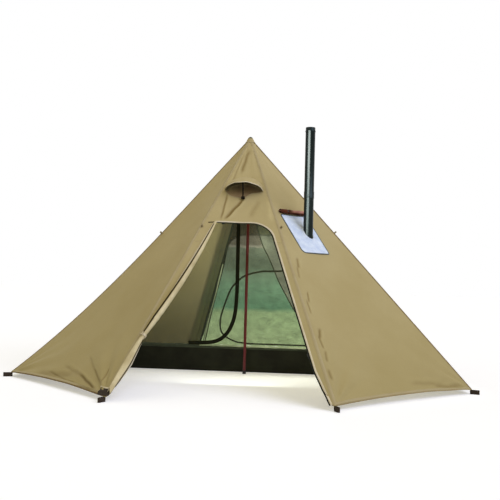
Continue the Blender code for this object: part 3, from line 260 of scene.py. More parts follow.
# Creases seen in the cloth: start and end as metres across and up the gore, width and depth.
CREASES = {
    0: [((-0.100, 1.545), (-0.124, 1.270), 0.006, 0.0048), ((0.012, 1.500), (-0.104, 1.280), 0.009, 0.0080),
        ((-0.036, 1.705), (0.006, 1.995), 0.011, 0.0044), ((-0.098, 1.560), (-0.016, 1.990), 0.006, 0.0026),
        ((0.083, 1.848), (0.090, 1.735), 0.006, 0.0040), ((0.05, 1.30), (0.105, 1.48), 0.016, 0.0018),
        ((-0.176, 1.165), (-0.336, 0.685), 0.006, 0.0048), ((0.19, 1.26), (0.16, 1.50), 0.016, -0.0015)],
    1: [((-0.226, 0.995), (-0.274, 0.900), 0.008, 0.0040), ((-0.270, 0.925), (-0.316, 0.820), 0.006, 0.0030),
        ((-0.306, 0.735), (-0.352, 0.640), 0.005, 0.0040), ((-0.350, 0.680), (-0.385, 0.560), 0.005, 0.0034),
        ((-0.375, 0.475), (-0.424, 0.400), 0.008, 0.0048), ((-0.418, 0.430), (-0.440, 0.330), 0.006, 0.0036),
        ((-0.430, 0.330), (-0.470, 0.250), 0.007, 0.0034), ((-0.484, 0.215), (-0.506, 0.140), 0.009, 0.0036),
        ((0.24, 0.052), (0.52, 0.034), 0.010, 0.0026),
        ((0.05, 0.085), (0.40, 0.060), 0.014, 0.0018)],
    7: [((-0.060, 0.130), (0.240, 0.085), 0.010, 0.0022), ((0.170, 0.100), (0.460, 0.024), 0.007, 0.0058),
        ((-0.190, 0.075), (0.160, 0.032), 0.005, 0.0020), ((0.100, 0.040), (0.478, 0.012), 0.005, 0.0040),
        ((0.120, 0.225), (0.300, 0.135), 0.008, 0.0016), ((0.260, 0.156), (0.478, 0.056), 0.006, 0.0032),
        ((0.415, 0.178), (0.470, 0.052), 0.006, 0.0032),
        ((-0.30, 0.040), (0.16, 0.080), 0.018, 0.0022)],
    4: [((0.10, 1.52), (0.12, 1.30), 0.009, 0.0030), ((0.02, 1.74), (-0.01, 1.96), 0.010, 0.0034)],
}


FIRST_SEED = 40
WAVE_LENGTHS = (0.52, 0.41, 0.33, 0.27, 0.22, 0.18, 0.145, 0.12)
WAVE_STEEPNESS = 0.0021
FAN_HEIGHT = 0.0052
PEAK_FOLD_HEIGHT = 0.0030
PEAK_FOLD_REACH = 0.62
PUCKER_HEIGHT = 0.0009
PUCKER_REACH = 0.020
PUCKER_PITCH = 0.047
PUCKER_DRIFT = 0.31


def crumple(gore, across, up, s, t, edge):
    """Outward relief of the hanging cloth, which dies away at the sewn ridges."""
    seed = np.random.default_rng(FIRST_SEED + gore)
    relief = np.zeros_like(across)
    for length in WAVE_LENGTHS:
        lean = seed.normal(0.0, 0.38)
        phase = seed.uniform(0.0, 2 * pi)
        drift = seed.uniform(0.0, 2 * pi)
        wave = np.sin(2 * pi * (across * cos(lean) + up * sin(lean)) / length + phase
                      + 0.9 * np.sin(2 * pi * up / (2.6 * length) + drift))
        relief += wave * length * WAVE_STEEPNESS
    relief *= eased(edge / 0.10) * (0.55 + 0.45 * eased(t / 0.2))
    for corner in (-1.0, 1.0):
        reach, spread = corner_polar(s, t, corner)
        swell = eased(reach / 0.10) * np.clip(1.0 - reach / seed.uniform(0.50, 0.75), 0.0, None) ** 1.5
        lobes = seed.uniform(4.2, 6.2)
        fan = np.sin(lobes * pi * spread + seed.uniform(0, 2 * pi))
        relief += FAN_HEIGHT * swell * fan * eased(edge / 0.035)
    below_peak = SLOPE - up
    swell = eased(below_peak / 0.12) * np.clip(1.0 - below_peak / PEAK_FOLD_REACH, 0.0, None)
    folds = np.sin(3.2 * pi * s + seed.uniform(0, 2 * pi))
    relief += PEAK_FOLD_HEIGHT * swell * folds * eased((1.0 - abs(s)) / 0.4)
    pucker = np.exp(-edge / PUCKER_REACH) * eased(edge / 0.006)
    wander = 1.7 * np.sin(2 * pi * up / PUCKER_DRIFT + gore)
    relief += PUCKER_HEIGHT * pucker * np.sin(2 * pi * up / PUCKER_PITCH + wander)
    return (relief - crease_lines(gore, across, up)[0]) * eased(edge / 0.004)


def crease_lines(gore, across, up):
    """Depth of the sharp creases, and the painted shade each puts in its groove, with a little painted
    highlight on the ridge beside it.
    """
    depths, shade = np.zeros_like(across), np.zeros_like(across)
    for start, end, width, depth in CREASES.get(gore, ()):
        run = np.array(end) - np.array(start)
        length = hypot(*run)
        run = run / length
        along = (across - start[0]) * run[0] + (up - start[1]) * run[1]
        aside = (up - start[1]) * run[0] - (across - start[0]) * run[1]
        aside = aside + 0.12 * width * np.sin(along * 2 * pi / 0.11)
        fade = eased(along / (0.25 * length)) * eased((length - along) / (0.25 * length))
        groove = np.exp(-(aside / width) ** 2)
        ridge_beside = np.exp(-((aside - 1.9 * width) / width) ** 2)
        depths += depth * fade * (groove - 0.45 * ridge_beside)
        shade += depth / 0.005 * fade * (groove - 0.16 * ridge_beside)
    return depths, shade


def cloth_at(gore, across, up, lift=0.0, creased=True):
    """Points of the fly at metres across from a gore's middle and up its slope from the hem."""
    across = np.asarray(across, float)
    up = np.asarray(up, float)
    t = up / SLOPE
    left, right = gore_edges(gore, t)
    s = (2.0 * across - left - right) / (right - left)
    share = ((s + 1.0) / 2.0)[..., None]
    point = ridge_line(gore, t) * (1.0 - share) + ridge_line(gore + 1, t) * share
    inside = np.clip(s, -1.0, 1.0)
    rise = -frame_fold(gore, inside, t) + lift
    if creased:
        edge = (1.0 - np.abs(inside)) * (right - left) / 2.0
        rise = rise + crumple(gore, across, up, inside, t, edge)
    return point + out_of_gore(gore) * rise[..., None]


def divided(points, step):
    """Points along straight runs, no further apart than the step."""
    made = [np.asarray(points[0], float)]
    for before, after in zip(points, points[1:]):
        before, after = np.asarray(before, float), np.asarray(after, float)
        count = max(1, ceil(np.linalg.norm(after - before) / step))
        made += [before + (after - before) * i / count for i in range(1, count + 1)]
    return np.array(made)


def within(points, outline):
    """Which points lie inside a closed outline."""
    x, y = points[:, 0][:, None], points[:, 1][:, None]
    ax, ay = outline[:, 0][None], outline[:, 1][None]
    bx, by = np.roll(ax, -1, 1), np.roll(ay, -1, 1)
    crosses = (ay > y) != (by > y)
    level = np.where(by == ay, 1.0, by - ay)
    return (crosses & (x < (bx - ax) * (y - ay) / level + ax)).sum(1) % 2 == 1


def clear_of(points, others, gap):
    """Which points keep a gap from all the others."""
    kept = np.ones(len(points), bool)
    for block in range(0, len(others), 400):
        far = np.linalg.norm(points[:, None] - others[None, block:block + 400], axis=2).min(1)
        kept &= far > gap
    return kept


def cut_cloth(outline, holes=(), pitch=0.012, lines=()):
    """Points and triangles of a flat cut of cloth, closer together beside its creases."""
    rims = [divided(list(rim) + [rim[0]], pitch)[:-1] for rim in (outline, *holes)]
    low, high = rims[0].min(0), rims[0].max(0)
    rows = np.arange(low[1] + pitch / 2, high[1], pitch * 0.866)
    grid = np.array([(x + (pitch / 2 if i % 2 else 0.0), y) for i, y in enumerate(rows)
                     for x in np.arange(low[0] + pitch / 2, high[0], pitch)])
    beside = []
    for start, end, width, _ in lines:
        run = np.array(end) - np.array(start)
        run = run / hypot(*run)
        across = np.array((-run[1], run[0]))
        for step in (-1.5, -0.75, 0.0, 0.75, 1.5, 2.4):
            beside += list(divided([np.array(start) + across * step * width,
                                    np.array(end) + across * step * width], 0.010))
    edge_points = np.concatenate(rims)
    if beside:
        beside = np.array(beside)
        grid = np.concatenate((beside, grid[clear_of(grid, beside, 0.75 * pitch)]))
    inside = within(grid, rims[0]) & clear_of(grid, edge_points, 0.55 * pitch)
    for hole in rims[1:]:
        inside &= ~within(grid, hole)
    grid = grid[inside]
    points = np.concatenate((edge_points, grid))
    edges = []
    start = 0
    for rim in rims:
        count = len(rim)
        edges += [(start + i, start + (i + 1) % count) for i in range(count)]
        start += count
    placed, _, faces, *_ = delaunay_2d_cdt([Vector(p) for p in points], edges, [], 0, 1e-6)
    placed = np.array([tuple(p) for p in placed])
    faces = np.array([f for f in faces if len(f) == 3])
    middles = placed[faces].mean(1)
    kept = within(middles, rims[0])
    for hole in rims[1:]:
        kept &= ~within(middles, hole)
    return placed, faces[kept]


def fill_mesh(name, points, faces, cut=None):
    """A smooth mesh whose map named cut holds each point's place on the flat cloth, in metres."""
    mesh = bpy.data.meshes.new(name)
    mesh.from_pydata([tuple(p) for p in points], [], [tuple(int(i) for i in f) for f in faces])
    mesh.update()
    if cut is not None:
        layer = mesh.uv_layers.new(name="cut")
        corner = np.zeros(len(mesh.loops), int)
        mesh.loops.foreach_get("vertex_index", corner)
        layer.data.foreach_set("uv", np.asarray(cut, np.float32)[corner].reshape(-1))
    mesh.shade_smooth()
    return mesh


def store_values(mesh, name, values):
    """Store a number at each of a mesh's points."""
    mesh.attributes.new(name, "FLOAT", "POINT").data.foreach_set("value", values)


def shade_folds(mesh, gore, cut):
    """Store the painted shade of a gore's creases at each point of its cloth, with a little more beside its
    ridges.
    """
    near = np.minimum(*[np.abs(cut[:, 0] - edge) for edge in gore_edges(gore, cut[:, 1] / SLOPE)])
    shade = crease_lines(gore, cut[:, 0], cut[:, 1])[1] + 0.12 * np.exp(-(near / 0.012) ** 2)
    store_values(mesh, "painted_shade", np.clip(shade, -0.6, 1.2))


def add_piece(name, mesh, finish, slot, body="tent", stands_for=()):
    """A piece of the tent, on its body, with its finish and the frame's nodes that it stands for."""
    piece = bpy.data.objects.new(name, mesh)
    scene.collection.objects.link(piece)
    for one in finish if isinstance(finish, (list, tuple)) else [finish]:
        mesh.materials.append(one)
    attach(piece, body)
    if stands_for:
        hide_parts(*stands_for)
    return piece


def thicken(piece, depth, offset=-1.0):
    """Give a sheet its thickness, inwards unless told otherwise."""
    wall = piece.modifiers.new("thickness", "SOLIDIFY")
    wall.thickness = depth
    wall.offset = offset
    wall.use_even_offset = False
    return wall


WAVE_SPAN = 0.314  # The pitch in metres of a wave texture whose scale is one.


def crossed_waves(tree, pitch, operation, distortion=0.0):
    """Threads both ways on the flat cut, a pitch apart."""
    cut = wired(tree, "ShaderNodeUVMap", uv_map="cut").outputs["UV"]
    given = {"Vector": cut, "Scale": WAVE_SPAN / pitch, "Distortion": distortion, "Detail": 0.0}
    waves = [wired(tree, "ShaderNodeTexWave", given, bands_direction=way).outputs["Fac"] for way in "XY"]
    return wired(tree, "ShaderNodeMath", {0: waves[0], 1: waves[1]}, operation=operation).outputs[0]


def noise(tree, place, scale, **more):
    """A cloudy value at a place, finer as the scale grows."""
    given = {"Vector": place, "Scale": scale, **more}
    return wired(tree, "ShaderNodeTexNoise", given).outputs["Fac"]


def ranged(tree, value, low, high, start=0.0, end=1.0):
    """A value taken from the range start to end into the range low to high."""
    given = {"Value": value, "From Min": start, "From Max": end, "To Min": low, "To Max": high}
    return wired(tree, "ShaderNodeMapRange", given).outputs[0]


def mixed_colour(tree, factor, a, b, blend="MIX"):
    """A colour between two others."""
    return wired(tree, "ShaderNodeMix", {"Factor": factor, "A": a, "B": b}, data_type="RGBA",
                 blend_type=blend).outputs["Result"]


def toned(colour, share, more=0.0):
    """A lighter or darker tone of a colour, ready for a socket."""
    return (*[min(1.0, c * share + more) for c in colour], 1.0)


def woven_cloth(name, colour, shade, thread=0.0009, rough=0.66, relief=0.00012, cloud=2.6, sheen=0.03,
                ground=None, painted_shade=0.0, gloss=0.2):
    """Woven cloth: threads both ways on the flat cut, slow cloudy changes between two shades, darker towards
    the ground, and darkened by painted shade from a stored value, which below zero lightens it as a painted
    highlight."""
    finish, tree, shader = new_finish(name)
    threads = crossed_waves(tree, thread, "MULTIPLY", 0.6)
    place = wired(tree, "ShaderNodeTexCoord").outputs["Object"]
    clouds = noise(tree, place, cloud, Detail=5.0, Roughness=0.55)
    spread = ranged(tree, clouds, 0.0, 1.0, 0.35, 0.65)
    tint = mixed_colour(tree, spread, (*colour, 1.0), (*shade, 1.0))
    level = ranged(tree, threads, 0.84, 1.0)
    if ground:
        height = wired(tree, "ShaderNodeSeparateXYZ", {0: place}).outputs["Z"]
        low = ranged(tree, height, 1.0, 0.0, 0.0, 1.35)
        tint = mixed_colour(tree, low, tint, (*ground, 1.0), "MULTIPLY")
    # Painted shade: the stored value darkens the colour, browner where it is strong; a value below zero
    # lightens it as a painted highlight.
    if painted_shade > 0.0:
        folds = wired(tree, "ShaderNodeAttribute", attribute_name="painted_shade").outputs["Fac"]
        dark = wired(tree, "ShaderNodeVectorMath", {0: folds, 1: (-0.88 * painted_shade, -painted_shade, -1.25 * painted_shade),
                                                    2: (1.0, 1.0, 1.0)}, operation="MULTIPLY_ADD").outputs[0]
        tint = wired(tree, "ShaderNodeVectorMath", {0: tint, 1: dark}, operation="MULTIPLY").outputs[0]
    dyed = wired(tree, "ShaderNodeVectorMath", {0: tint, "Scale": level}, operation="SCALE").outputs[0]
    bump = wired(tree, "ShaderNodeBump", {"Height": threads, "Strength": 0.5, "Distance": relief}).outputs[0]
    feed(tree, shader, {"Base Color": dyed, "Normal": bump, "Roughness": rough, "Sheen Weight": sheen,
                        "Specular IOR Level": gloss})
    return finish


fly_cloth = woven_cloth("sand_cloth", (0.530, 0.430, 0.206), (0.486, 0.388, 0.172), ground=(0.80, 0.79, 0.69),
                        painted_shade=0.55)

# Where the doorway's edge runs on a front or rear gore, so that its cloth can be cut round it.
DOOR_TOP = SLOPE - 0.832
DOOR_TOP_HALF_WIDTH = 0.150
DOOR_CORNER_RADIUS = 0.160
DOOR_STRIP = 0.050
DOOR_STRIP_FOOT = 0.022
DOOR_FOOT_HEIGHT = 0.200
KNOT_HEIGHT = 0.375
KNOT_STRIP = 0.036
HEADER_FOOT = 1.10


def half_width(up):
    """Half a gore's width at a height up its slope."""
    return HEM_HALF_WIDTH * (1.0 - up / SLOPE)


def door_edge(up):
    """How far the zipped edge lies from the gore's middle, at its right side."""
    if up < DOOR_FOOT_HEIGHT:
        at_hem = HEM_HALF_WIDTH - DOOR_STRIP_FOOT
        return at_hem + (half_width(DOOR_FOOT_HEIGHT) - DOOR_STRIP - at_hem) * up / DOOR_FOOT_HEIGHT
    return half_width(up) - DOOR_STRIP


def door_corner_arc(steps=14):
    """The rounded upper right corner, from its side to its top."""
    slant = atan2(SLOPE, HEM_HALF_WIDTH)
    centre_up = DOOR_TOP - DOOR_CORNER_RADIUS
    centre = door_edge(centre_up) - DOOR_CORNER_RADIUS / sin(slant)
    turn = pi / 2 - slant
    angles = [turn + (pi / 2 - turn) * i / steps for i in range(steps + 1)]
    return [(centre + DOOR_CORNER_RADIUS * cos(a), centre_up + DOOR_CORNER_RADIUS * sin(a)) for a in angles]


def hinge_edge(up):
    """The doorway's left side, where the rolled door hangs."""
    if up < DOOR_FOOT_HEIGHT:
        return -door_edge(up)
    at_knot = half_width(KNOT_HEIGHT) - KNOT_STRIP
    if up < KNOT_HEIGHT:
        share = (up - DOOR_FOOT_HEIGHT) / (KNOT_HEIGHT - DOOR_FOOT_HEIGHT)
        return -(door_edge(DOOR_FOOT_HEIGHT) + (at_knot - door_edge(DOOR_FOOT_HEIGHT)) * share)
    share = (up - KNOT_HEIGHT) / (DOOR_TOP - KNOT_HEIGHT)
    return -at_knot * (1.0 - share) - DOOR_TOP_HALF_WIDTH * share


def hem_up(s):
    """How far the hem's middle is drawn up, at a share of its width from -1 to 1."""
    return SLOPE * HEM_RISE * (1.0 - s * s) / RISE


def ridge_run(gore, side, low, high, count=60):
    """A gore's own edge as (across, up) points between two heights up the slope."""
    ups = np.linspace(low, high, count)
    edge = gore_edges(gore, ups / SLOPE)[0 if side < 0 else 1]
    return list(zip(edge, ups))


def hem_run(gore, start, end, count=60):
    """A stretch of a gore's hem, between two shares of its width from -1 to 1."""
    low, high = gore_edges(gore, np.array(0.0))
    shares = np.linspace(start, end, count)
    return [((low + high) / 2 + (high - low) / 2 * s, hem_up(s)) for s in shares]


VENT_UP = SLOPE - 0.552
VENT_HOLE_HALF_WIDTH = 0.108
VENT_HOLE_DROP = 0.055
VENT_HOLE_RISE = 0.070


def vent_hole(grow=0.0, steps=28):
    """The vent's hole: a lens whose lower arc is deep on its left and drawn up on its right."""
    points = []
    for i in range(2 * steps):
        angle = pi + pi * i / steps
        drop = VENT_HOLE_DROP * (1.0 - 0.80 * float(eased(cos(angle) / 0.5)) * (grow == 0.0))
        tall = (drop if i < steps else VENT_HOLE_RISE) + grow
        points.append(((VENT_HOLE_HALF_WIDTH + grow) * cos(angle), VENT_UP + tall * sin(angle)))
    return np.array(points)


JACK_ACROSS = -0.041
JACK_UP = SLOPE - 0.904
JACK_WIDTH = 0.228
JACK_HEIGHT = 0.320
JACK_LAP = 0.022
TOP_UP = SLOPE * GORE_TOP
HEM_TURN = 0.012
HEADER_FLAT = (0.53, 0.98)
STRIP_FLAT = (0.085, 1.13)
NEAR_GORES = (0, 1, 7)
NEAR_PITCH = 0.0105
FAR_PITCH = 0.0125


def door_gore_cuts(gore):
    """A front or rear gore's header and the strips beside its doorway: outline, holes and flat size."""
    arc = door_corner_arc()
    hinge = [(hinge_edge(u), u) for u in np.linspace(0.0, DOOR_TOP, 90)]
    right_side = [(door_edge(u), u) for u in np.linspace(0.0, arc[0][1], 80)]
    left_foot, right_foot = (hinge_edge(HEADER_FOOT), HEADER_FOOT), (door_edge(HEADER_FOOT), HEADER_FOOT)
    header = ([left_foot] + [p for p in hinge if p[1] > HEADER_FOOT] + arc[::-1]
              + [p for p in right_side[::-1] if p[1] > HEADER_FOOT] + [right_foot]
              + ridge_run(gore, 1, HEADER_FOOT, TOP_UP, 70)
              + ridge_run(gore, -1, HEADER_FOOT, TOP_UP, 70)[::-1])
    cuts = [("header", header, (vent_hole(),), HEADER_FLAT)]
    share = door_edge(0.0) / HEM_HALF_WIDTH
    for name, way, edge, foot in (("left_strip", -1, hinge, left_foot),
                                  ("right_strip", 1, right_side, right_foot)):
        strip = (hem_run(gore, way, way * share, 4)[:-1]
                 + [p for p in edge if hem_up(share) < p[1] < HEADER_FOOT]
                 + [foot] + ridge_run(gore, way, HEM_TURN, HEADER_FOOT, 90)[::-1])
        cuts.append((name, strip, (), STRIP_FLAT))
    return cuts


def whole_gore_cuts(gore):
    """A gore without a doorway, with a window behind the stove jack."""
    outline = (hem_run(gore, -1.0, 1.0, 110)[:-1] + ridge_run(gore, 1, 0.0, TOP_UP, 190)
               + ridge_run(gore, -1, HEM_TURN, TOP_UP, 190)[::-1])
    window = [(JACK_ACROSS + x * (JACK_WIDTH / 2 - JACK_LAP), JACK_UP + y * (JACK_HEIGHT / 2 - JACK_LAP))
              for x, y in ((-1, -1), (1, -1), (1, 1), (-1, 1))]
    return [("gore", outline, (np.array(window),) if gore == JACK_GORE else (), (2 * HEM_HALF_WIDTH, SLOPE))]


for gore, side in enumerate(GORE_NAMES):
    pitch = NEAR_PITCH if gore in NEAR_GORES else FAR_PITCH
    cuts = door_gore_cuts(gore) if gore in (FRONT, REAR) else whole_gore_cuts(gore)
    for part, outline, holes, flat in cuts:
        points, faces = cut_cloth(np.array(outline), holes, pitch, CREASES.get(gore, ()))
        mesh = fill_mesh(f"{side}_{part}", cloth_at(gore, points[:, 0], points[:, 1]), faces, points)
        shade_folds(mesh, gore, points)
        piece = add_piece(f"{side}_{part}", mesh, fly_cloth, "fly_cloth", stands_for=(f"fly_{side}",))
        thicken(piece, SKIN)

# Ridge seams
# Where two gores meet, their edges are folded into each other and sewn down with two rows of thread.
# The seam stands a millimetre proud and carries the pull from the peak to each peg.
SEAM_ROWS = 0.0072
ROW_LIFT = 0.0011
SEAM_SECTION = [(-0.0103, -0.0002), (-0.0100, 0.0006), (-0.0090, 0.0010), (-0.0035, 0.0009), (0.0, 0.0014),
                (0.0035, 0.0009), (0.0090, 0.0010), (0.0100, 0.0006), (0.0103, -0.0002), (0.0, -0.0006)]
SEAM_CREST = 0.0095
UNSHADED_RIDGES = (0, 1)


def skinned(rings, loop=True, ends=True):
    """Points and faces of a skin over equal rings, with its ends closed."""
    rings = np.asarray(rings, float)
    count, size = rings.shape[:2]
    points = rings.reshape(-1, 3)
    faces = []
    for r in range(count - 1):
        for i in range(size if loop else size - 1):
            j = (i + 1) % size
            faces.append((r * size + i, r * size + j, (r + 1) * size + j, (r + 1) * size + i))
    if ends and loop:
        faces.append(tuple(range(size))[::-1])
        faces.append(tuple((count - 1) * size + i for i in range(size)))
    return points, faces


def outward_faces(mesh):
    """Turn a closed mesh's faces outwards."""
    shell = bmesh.new()
    shell.from_mesh(mesh)
    bmesh.ops.remove_doubles(shell, verts=shell.verts, dist=1e-6)
    bmesh.ops.recalc_face_normals(shell, faces=shell.faces)
    shell.to_mesh(mesh)
    shell.free()
    mesh.shade_smooth()
    mesh.set_sharp_from_angle(angle=radians(50))
    return mesh


def stack_meshes(name, parts, cuts=None):
    """One closed mesh from several skins, with their flat maps if they have them."""
    points, faces, start = [], [], 0
    for own, own_faces in parts:
        points.append(own)
        faces += [tuple(start + i for i in face) for face in own_faces]
        start += len(own)
    flat = np.concatenate(cuts) if cuts is not None else None
    return outward_faces(fill_mesh(name, np.concatenate(points), faces, flat))


def add_skins(name, parts, cuts, finish, slot, **more):
    """A piece made of several skins."""
    return add_piece(name, stack_meshes(name, parts, cuts), finish, slot, **more)


def add_skin(name, rings, cut, finish, slot, ends=True, **more):
    """A piece made of one skin over equal rings, with its flat map if it has one."""
    return add_skins(name, [skinned(rings, ends=ends)], None if cut is None else [cut], finish, slot, **more)


def new_tree(name, geometry, sizes, finish):
    """A geometry tree with named inputs, and the sockets that hand them on."""
    tree = bpy.data.node_groups.new(name, "GeometryNodeTree")
    face = tree.interface
    face.new_socket(geometry, in_out="INPUT", socket_type="NodeSocketGeometry")
    for label, size in sizes:
        face.new_socket(label, in_out="INPUT", socket_type="NodeSocketFloat").default_value = size
    face.new_socket(finish, in_out="INPUT", socket_type="NodeSocketMaterial")
    face.new_socket("Made", in_out="OUTPUT", socket_type="NodeSocketGeometry")
    return tree, tree.nodes.new("NodeGroupInput").outputs


def set_out(tree, points, instance, rotation, finish):
    """Set an instance out on points, make them real, give them their finish and hand them over."""
    placed = wired(tree, "GeometryNodeInstanceOnPoints", {"Points": points, "Instance": instance,
                                                          "Rotation": rotation})
    real = wired(tree, "GeometryNodeRealizeInstances", {"Geometry": placed.outputs["Instances"]})
    dyed = wired(tree, "GeometryNodeSetMaterial", {"Geometry": real.outputs["Geometry"], "Material": finish})
    wired(tree, "NodeGroupOutput", {"Made": dyed.outputs["Geometry"]})


def row_tree(name, pitch, sizes, finish, unit):
    """A row of one small shape along lines, whose points carry the cloth's outward direction. The sizes
    run along the line, across it and outward, and the unit makes the shape one metre in size."""
    tree, given = new_tree(name, "Lines", (pitch, *sizes), finish)
    line = wired(tree, "GeometryNodeMeshToCurve", {"Mesh": given["Lines"]}).outputs["Curve"]
    spaced = wired(tree, "GeometryNodeResampleCurve", {"Curve": line, "Length": given[pitch[0]]},
                   mode="LENGTH").outputs["Curve"]
    run = wired(tree, "GeometryNodeInputTangent").outputs["Tangent"]
    out = wired(tree, "GeometryNodeInputNamedAttribute", {"Name": "out"},
                data_type="FLOAT_VECTOR").outputs["Attribute"]
    along = wired(tree, "FunctionNodeAlignRotationToVector", {"Vector": run}, axis="X").outputs["Rotation"]
    upright = wired(tree, "FunctionNodeAlignRotationToVector", {"Rotation": along, "Vector": out},
                    axis="Z", pivot_axis="X").outputs["Rotation"]
    size = wired(tree, "ShaderNodeCombineXYZ", {way: given[label] for way, (label, _) in zip("XYZ", sizes)})
    shaped = wired(tree, "GeometryNodeTransform", {"Geometry": unit(tree), "Scale": size.outputs["Vector"]})
    set_out(tree, spaced, shaped.outputs["Geometry"], upright, given[finish])
    return tree


def thread_bead(tree):
    """A small bead, drawn out into a stitch by its sizes."""
    return wired(tree, "GeometryNodeMeshUVSphere", {"Segments": 4, "Rings": 2, "Radius": 0.5}).outputs["Mesh"]


def grown(name, base, tree, settings):
    """The plain mesh that a tree makes from a base mesh, with its inputs set by name."""
    holder = bpy.data.objects.new(f"{name}_base", base)
    scene.collection.objects.link(holder)
    change = holder.modifiers.new(tree.name, "NODES")
    change.node_group = tree
    for item in tree.interface.items_tree:
        if item.item_type == "SOCKET" and item.in_out == "INPUT" and item.name in settings:
            change[item.identifier] = settings[item.name]
    holder.update_tag()
    bpy.context.view_layer.update()
    drawn = holder.evaluated_get(bpy.context.evaluated_depsgraph_get())
    mesh = bpy.data.meshes.new_from_object(drawn)
    mesh.name = name
    bpy.data.objects.remove(holder)
    return mesh


def add_row(name, lines, slot, tree, settings):
    """A piece grown along open lines, each given as its points and the cloth's outward directions there."""
    mesh = bpy.data.meshes.new(f"{name}_lines")
    points = [tuple(p) for line, _ in lines for p in line]
    edges, start = [], 0
    for line, _ in lines:
        edges += [(start + i, start + i + 1) for i in range(len(line) - 1)]
        start += len(line)
    mesh.from_pydata(points, edges, [])
    outward = np.concatenate([np.broadcast_to(out, np.shape(line)) for line, out in lines]).astype(np.float32)
    mesh.attributes.new("out", "FLOAT_VECTOR", "POINT").data.foreach_set("vector", outward.reshape(-1))
    add_piece(name, grown(name, mesh, tree, settings), [], slot)


def thread_finish(name, colour):
    """Twisted polyester thread."""
    finish, tree, shader = new_finish(name)
    twist = noise(tree, wired(tree, "ShaderNodeTexCoord").outputs["Object"], 900.0)
    tint = mixed_colour(tree, twist, toned(colour, 0.75), toned(colour, 1.0))
    feed(tree, shader, {"Base Color": tint, "Roughness": 0.55})
    return finish


STITCH_SIZES = (("Stitch length", 0.0033), ("Thread width", 0.0008), ("Thread rise", 0.0005))
stitches = row_tree("thread_stitches", ("Stitch pitch", 0.0045), STITCH_SIZES, "Thread", thread_bead)
sand_thread = thread_finish("sand_thread", (0.40, 0.33, 0.18))
seam_cloth = woven_cloth("seam_cloth", (0.455, 0.372, 0.192), (0.425, 0.338, 0.165), cloud=9.0, painted_shade=0.75)


def add_stitches(name, lines, slot, thread=sand_thread):
    """Rows of stitches along lines."""
    add_row(name, lines, slot, stitches, {"Thread": thread})


def seam_point(ridge, ts, aside, lift):
    """Points beside a ridge: aside is below zero on the gore to its left and above zero to its right."""
    ups = ts * SLOPE
    if aside == 0.0:
        return ridge_line(ridge, ts, lift)
    if aside > 0.0:
        return cloth_at(ridge % SIDES, gore_edges(ridge % SIDES, ts)[0] + aside, ups, lift)
    return cloth_at((ridge - 1) % SIDES, gore_edges((ridge - 1) % SIDES, ts)[1] + aside, ups, lift)


def along_ridge(ridge, ts, section):
    """Rings of a section of (aside, lift) points carried up a ridge."""
    return np.stack([seam_point(ridge, ts, a, h) for a, h in section], 1)


seam_ts = np.linspace(0.002, GORE_TOP - 0.006, 200)
seam_parts, seam_maps, seam_lines = [], [], []
for ridge in range(SIDES):
    seam_parts.append(skinned(along_ridge(ridge, seam_ts, SEAM_SECTION)))
    seam_maps.append(np.array([(a, t * SLOPE + ridge) for t in seam_ts for a, _ in SEAM_SECTION]))
    for aside in (-SEAM_ROWS, SEAM_ROWS):
        gore = ridge if aside > 0 else (ridge - 1) % SIDES
        seam_lines.append((seam_point(ridge, seam_ts, aside, ROW_LIFT), out_of_gore(gore)))
seams = add_skins("ridge_seams", seam_parts, seam_maps, seam_cloth, "fly_cloth")
# Their crests are darkened as painted shade, except beside the front doorway.
painted_edge_shade = [1.0 * (abs(a) < SEAM_CREST) * (ridge not in UNSHADED_RIDGES)
          for ridge in range(SIDES) for _ in seam_ts for a, _ in SEAM_SECTION]
store_values(seams.data, "painted_shade", painted_edge_shade)
add_stitches("ridge_stitches", seam_lines, "fly_cloth")

# Hem
# Along the ground each gore's edge is turned up twice and sewn with two rows, which keeps it from
# fraying and from stretching between the pegs.
HEM_SECTION = [(0.0203, -0.0003), (0.0195, 0.0006), (0.0090, 0.0009), (0.0062, 0.0009), (0.0008, 0.0006),
               (-0.0006, -0.0004), (-0.0004, -0.0014), (0.0012, -0.0020), (0.0195, -0.0018),
               (0.0203, -0.0010)]
HEM_END = 0.985
HEM_ROWS = (0.005, 0.0165)
HEM_SHADED_BELOW = 0.007
SHADED_HEM_GORES = (5, 6, 7)
hem_parts, hem_maps, hem_lines, painted_edge_shade = [], [], [], []
for gore in range(SIDES):
    spans = [(-HEM_END, HEM_END)]
    if gore in (FRONT, REAR):
        share = (door_edge(0.0) + 0.006) / HEM_HALF_WIDTH
        spans = [(-HEM_END, -share), (share, HEM_END)]
    # Painted shade along the hem's lowest edge, strongest on the left gores.
    hem_shade_strength = 0.95 if gore in SHADED_HEM_GORES else 0.40
    for start, end in spans:
        run = np.array(hem_run(gore, start, end, max(4, int(90 * (end - start) / 2))))
        rings = np.stack([cloth_at(gore, run[:, 0], run[:, 1] + u, h) for u, h in HEM_SECTION], 1)
        hem_parts.append(skinned(rings))
        hem_maps.append(np.array([(a, u + gore) for a, _ in run for u, _ in HEM_SECTION]))
        painted_edge_shade += [hem_shade_strength * (u < HEM_SHADED_BELOW) for _ in run for u, _ in HEM_SECTION]
        for rise in HEM_ROWS:
            hem_lines.append((cloth_at(gore, run[:, 0], run[:, 1] + rise, 0.0009), out_of_gore(gore)))
hem = add_skins("hem_band", hem_parts, hem_maps, seam_cloth, "fly_cloth")
store_values(hem.data, "painted_shade", painted_edge_shade)
add_stitches("hem_stitches", hem_lines, "fly_cloth")

# Peak cap
# Two layers of cloth in eight small gores cover the ends of the big ones, over the pole's plastic tip.
# They take the pole's push and keep rain out of the eight seams' ends.
CAP_LOW = 1.0 - 0.050 / SLOPE
CAP_LIFT = 0.0031
CAP_INNER_LIFT = 0.0015
CAP_ROWS = (0.004, 0.009)
CAP_ROW_LIFT = 0.0033


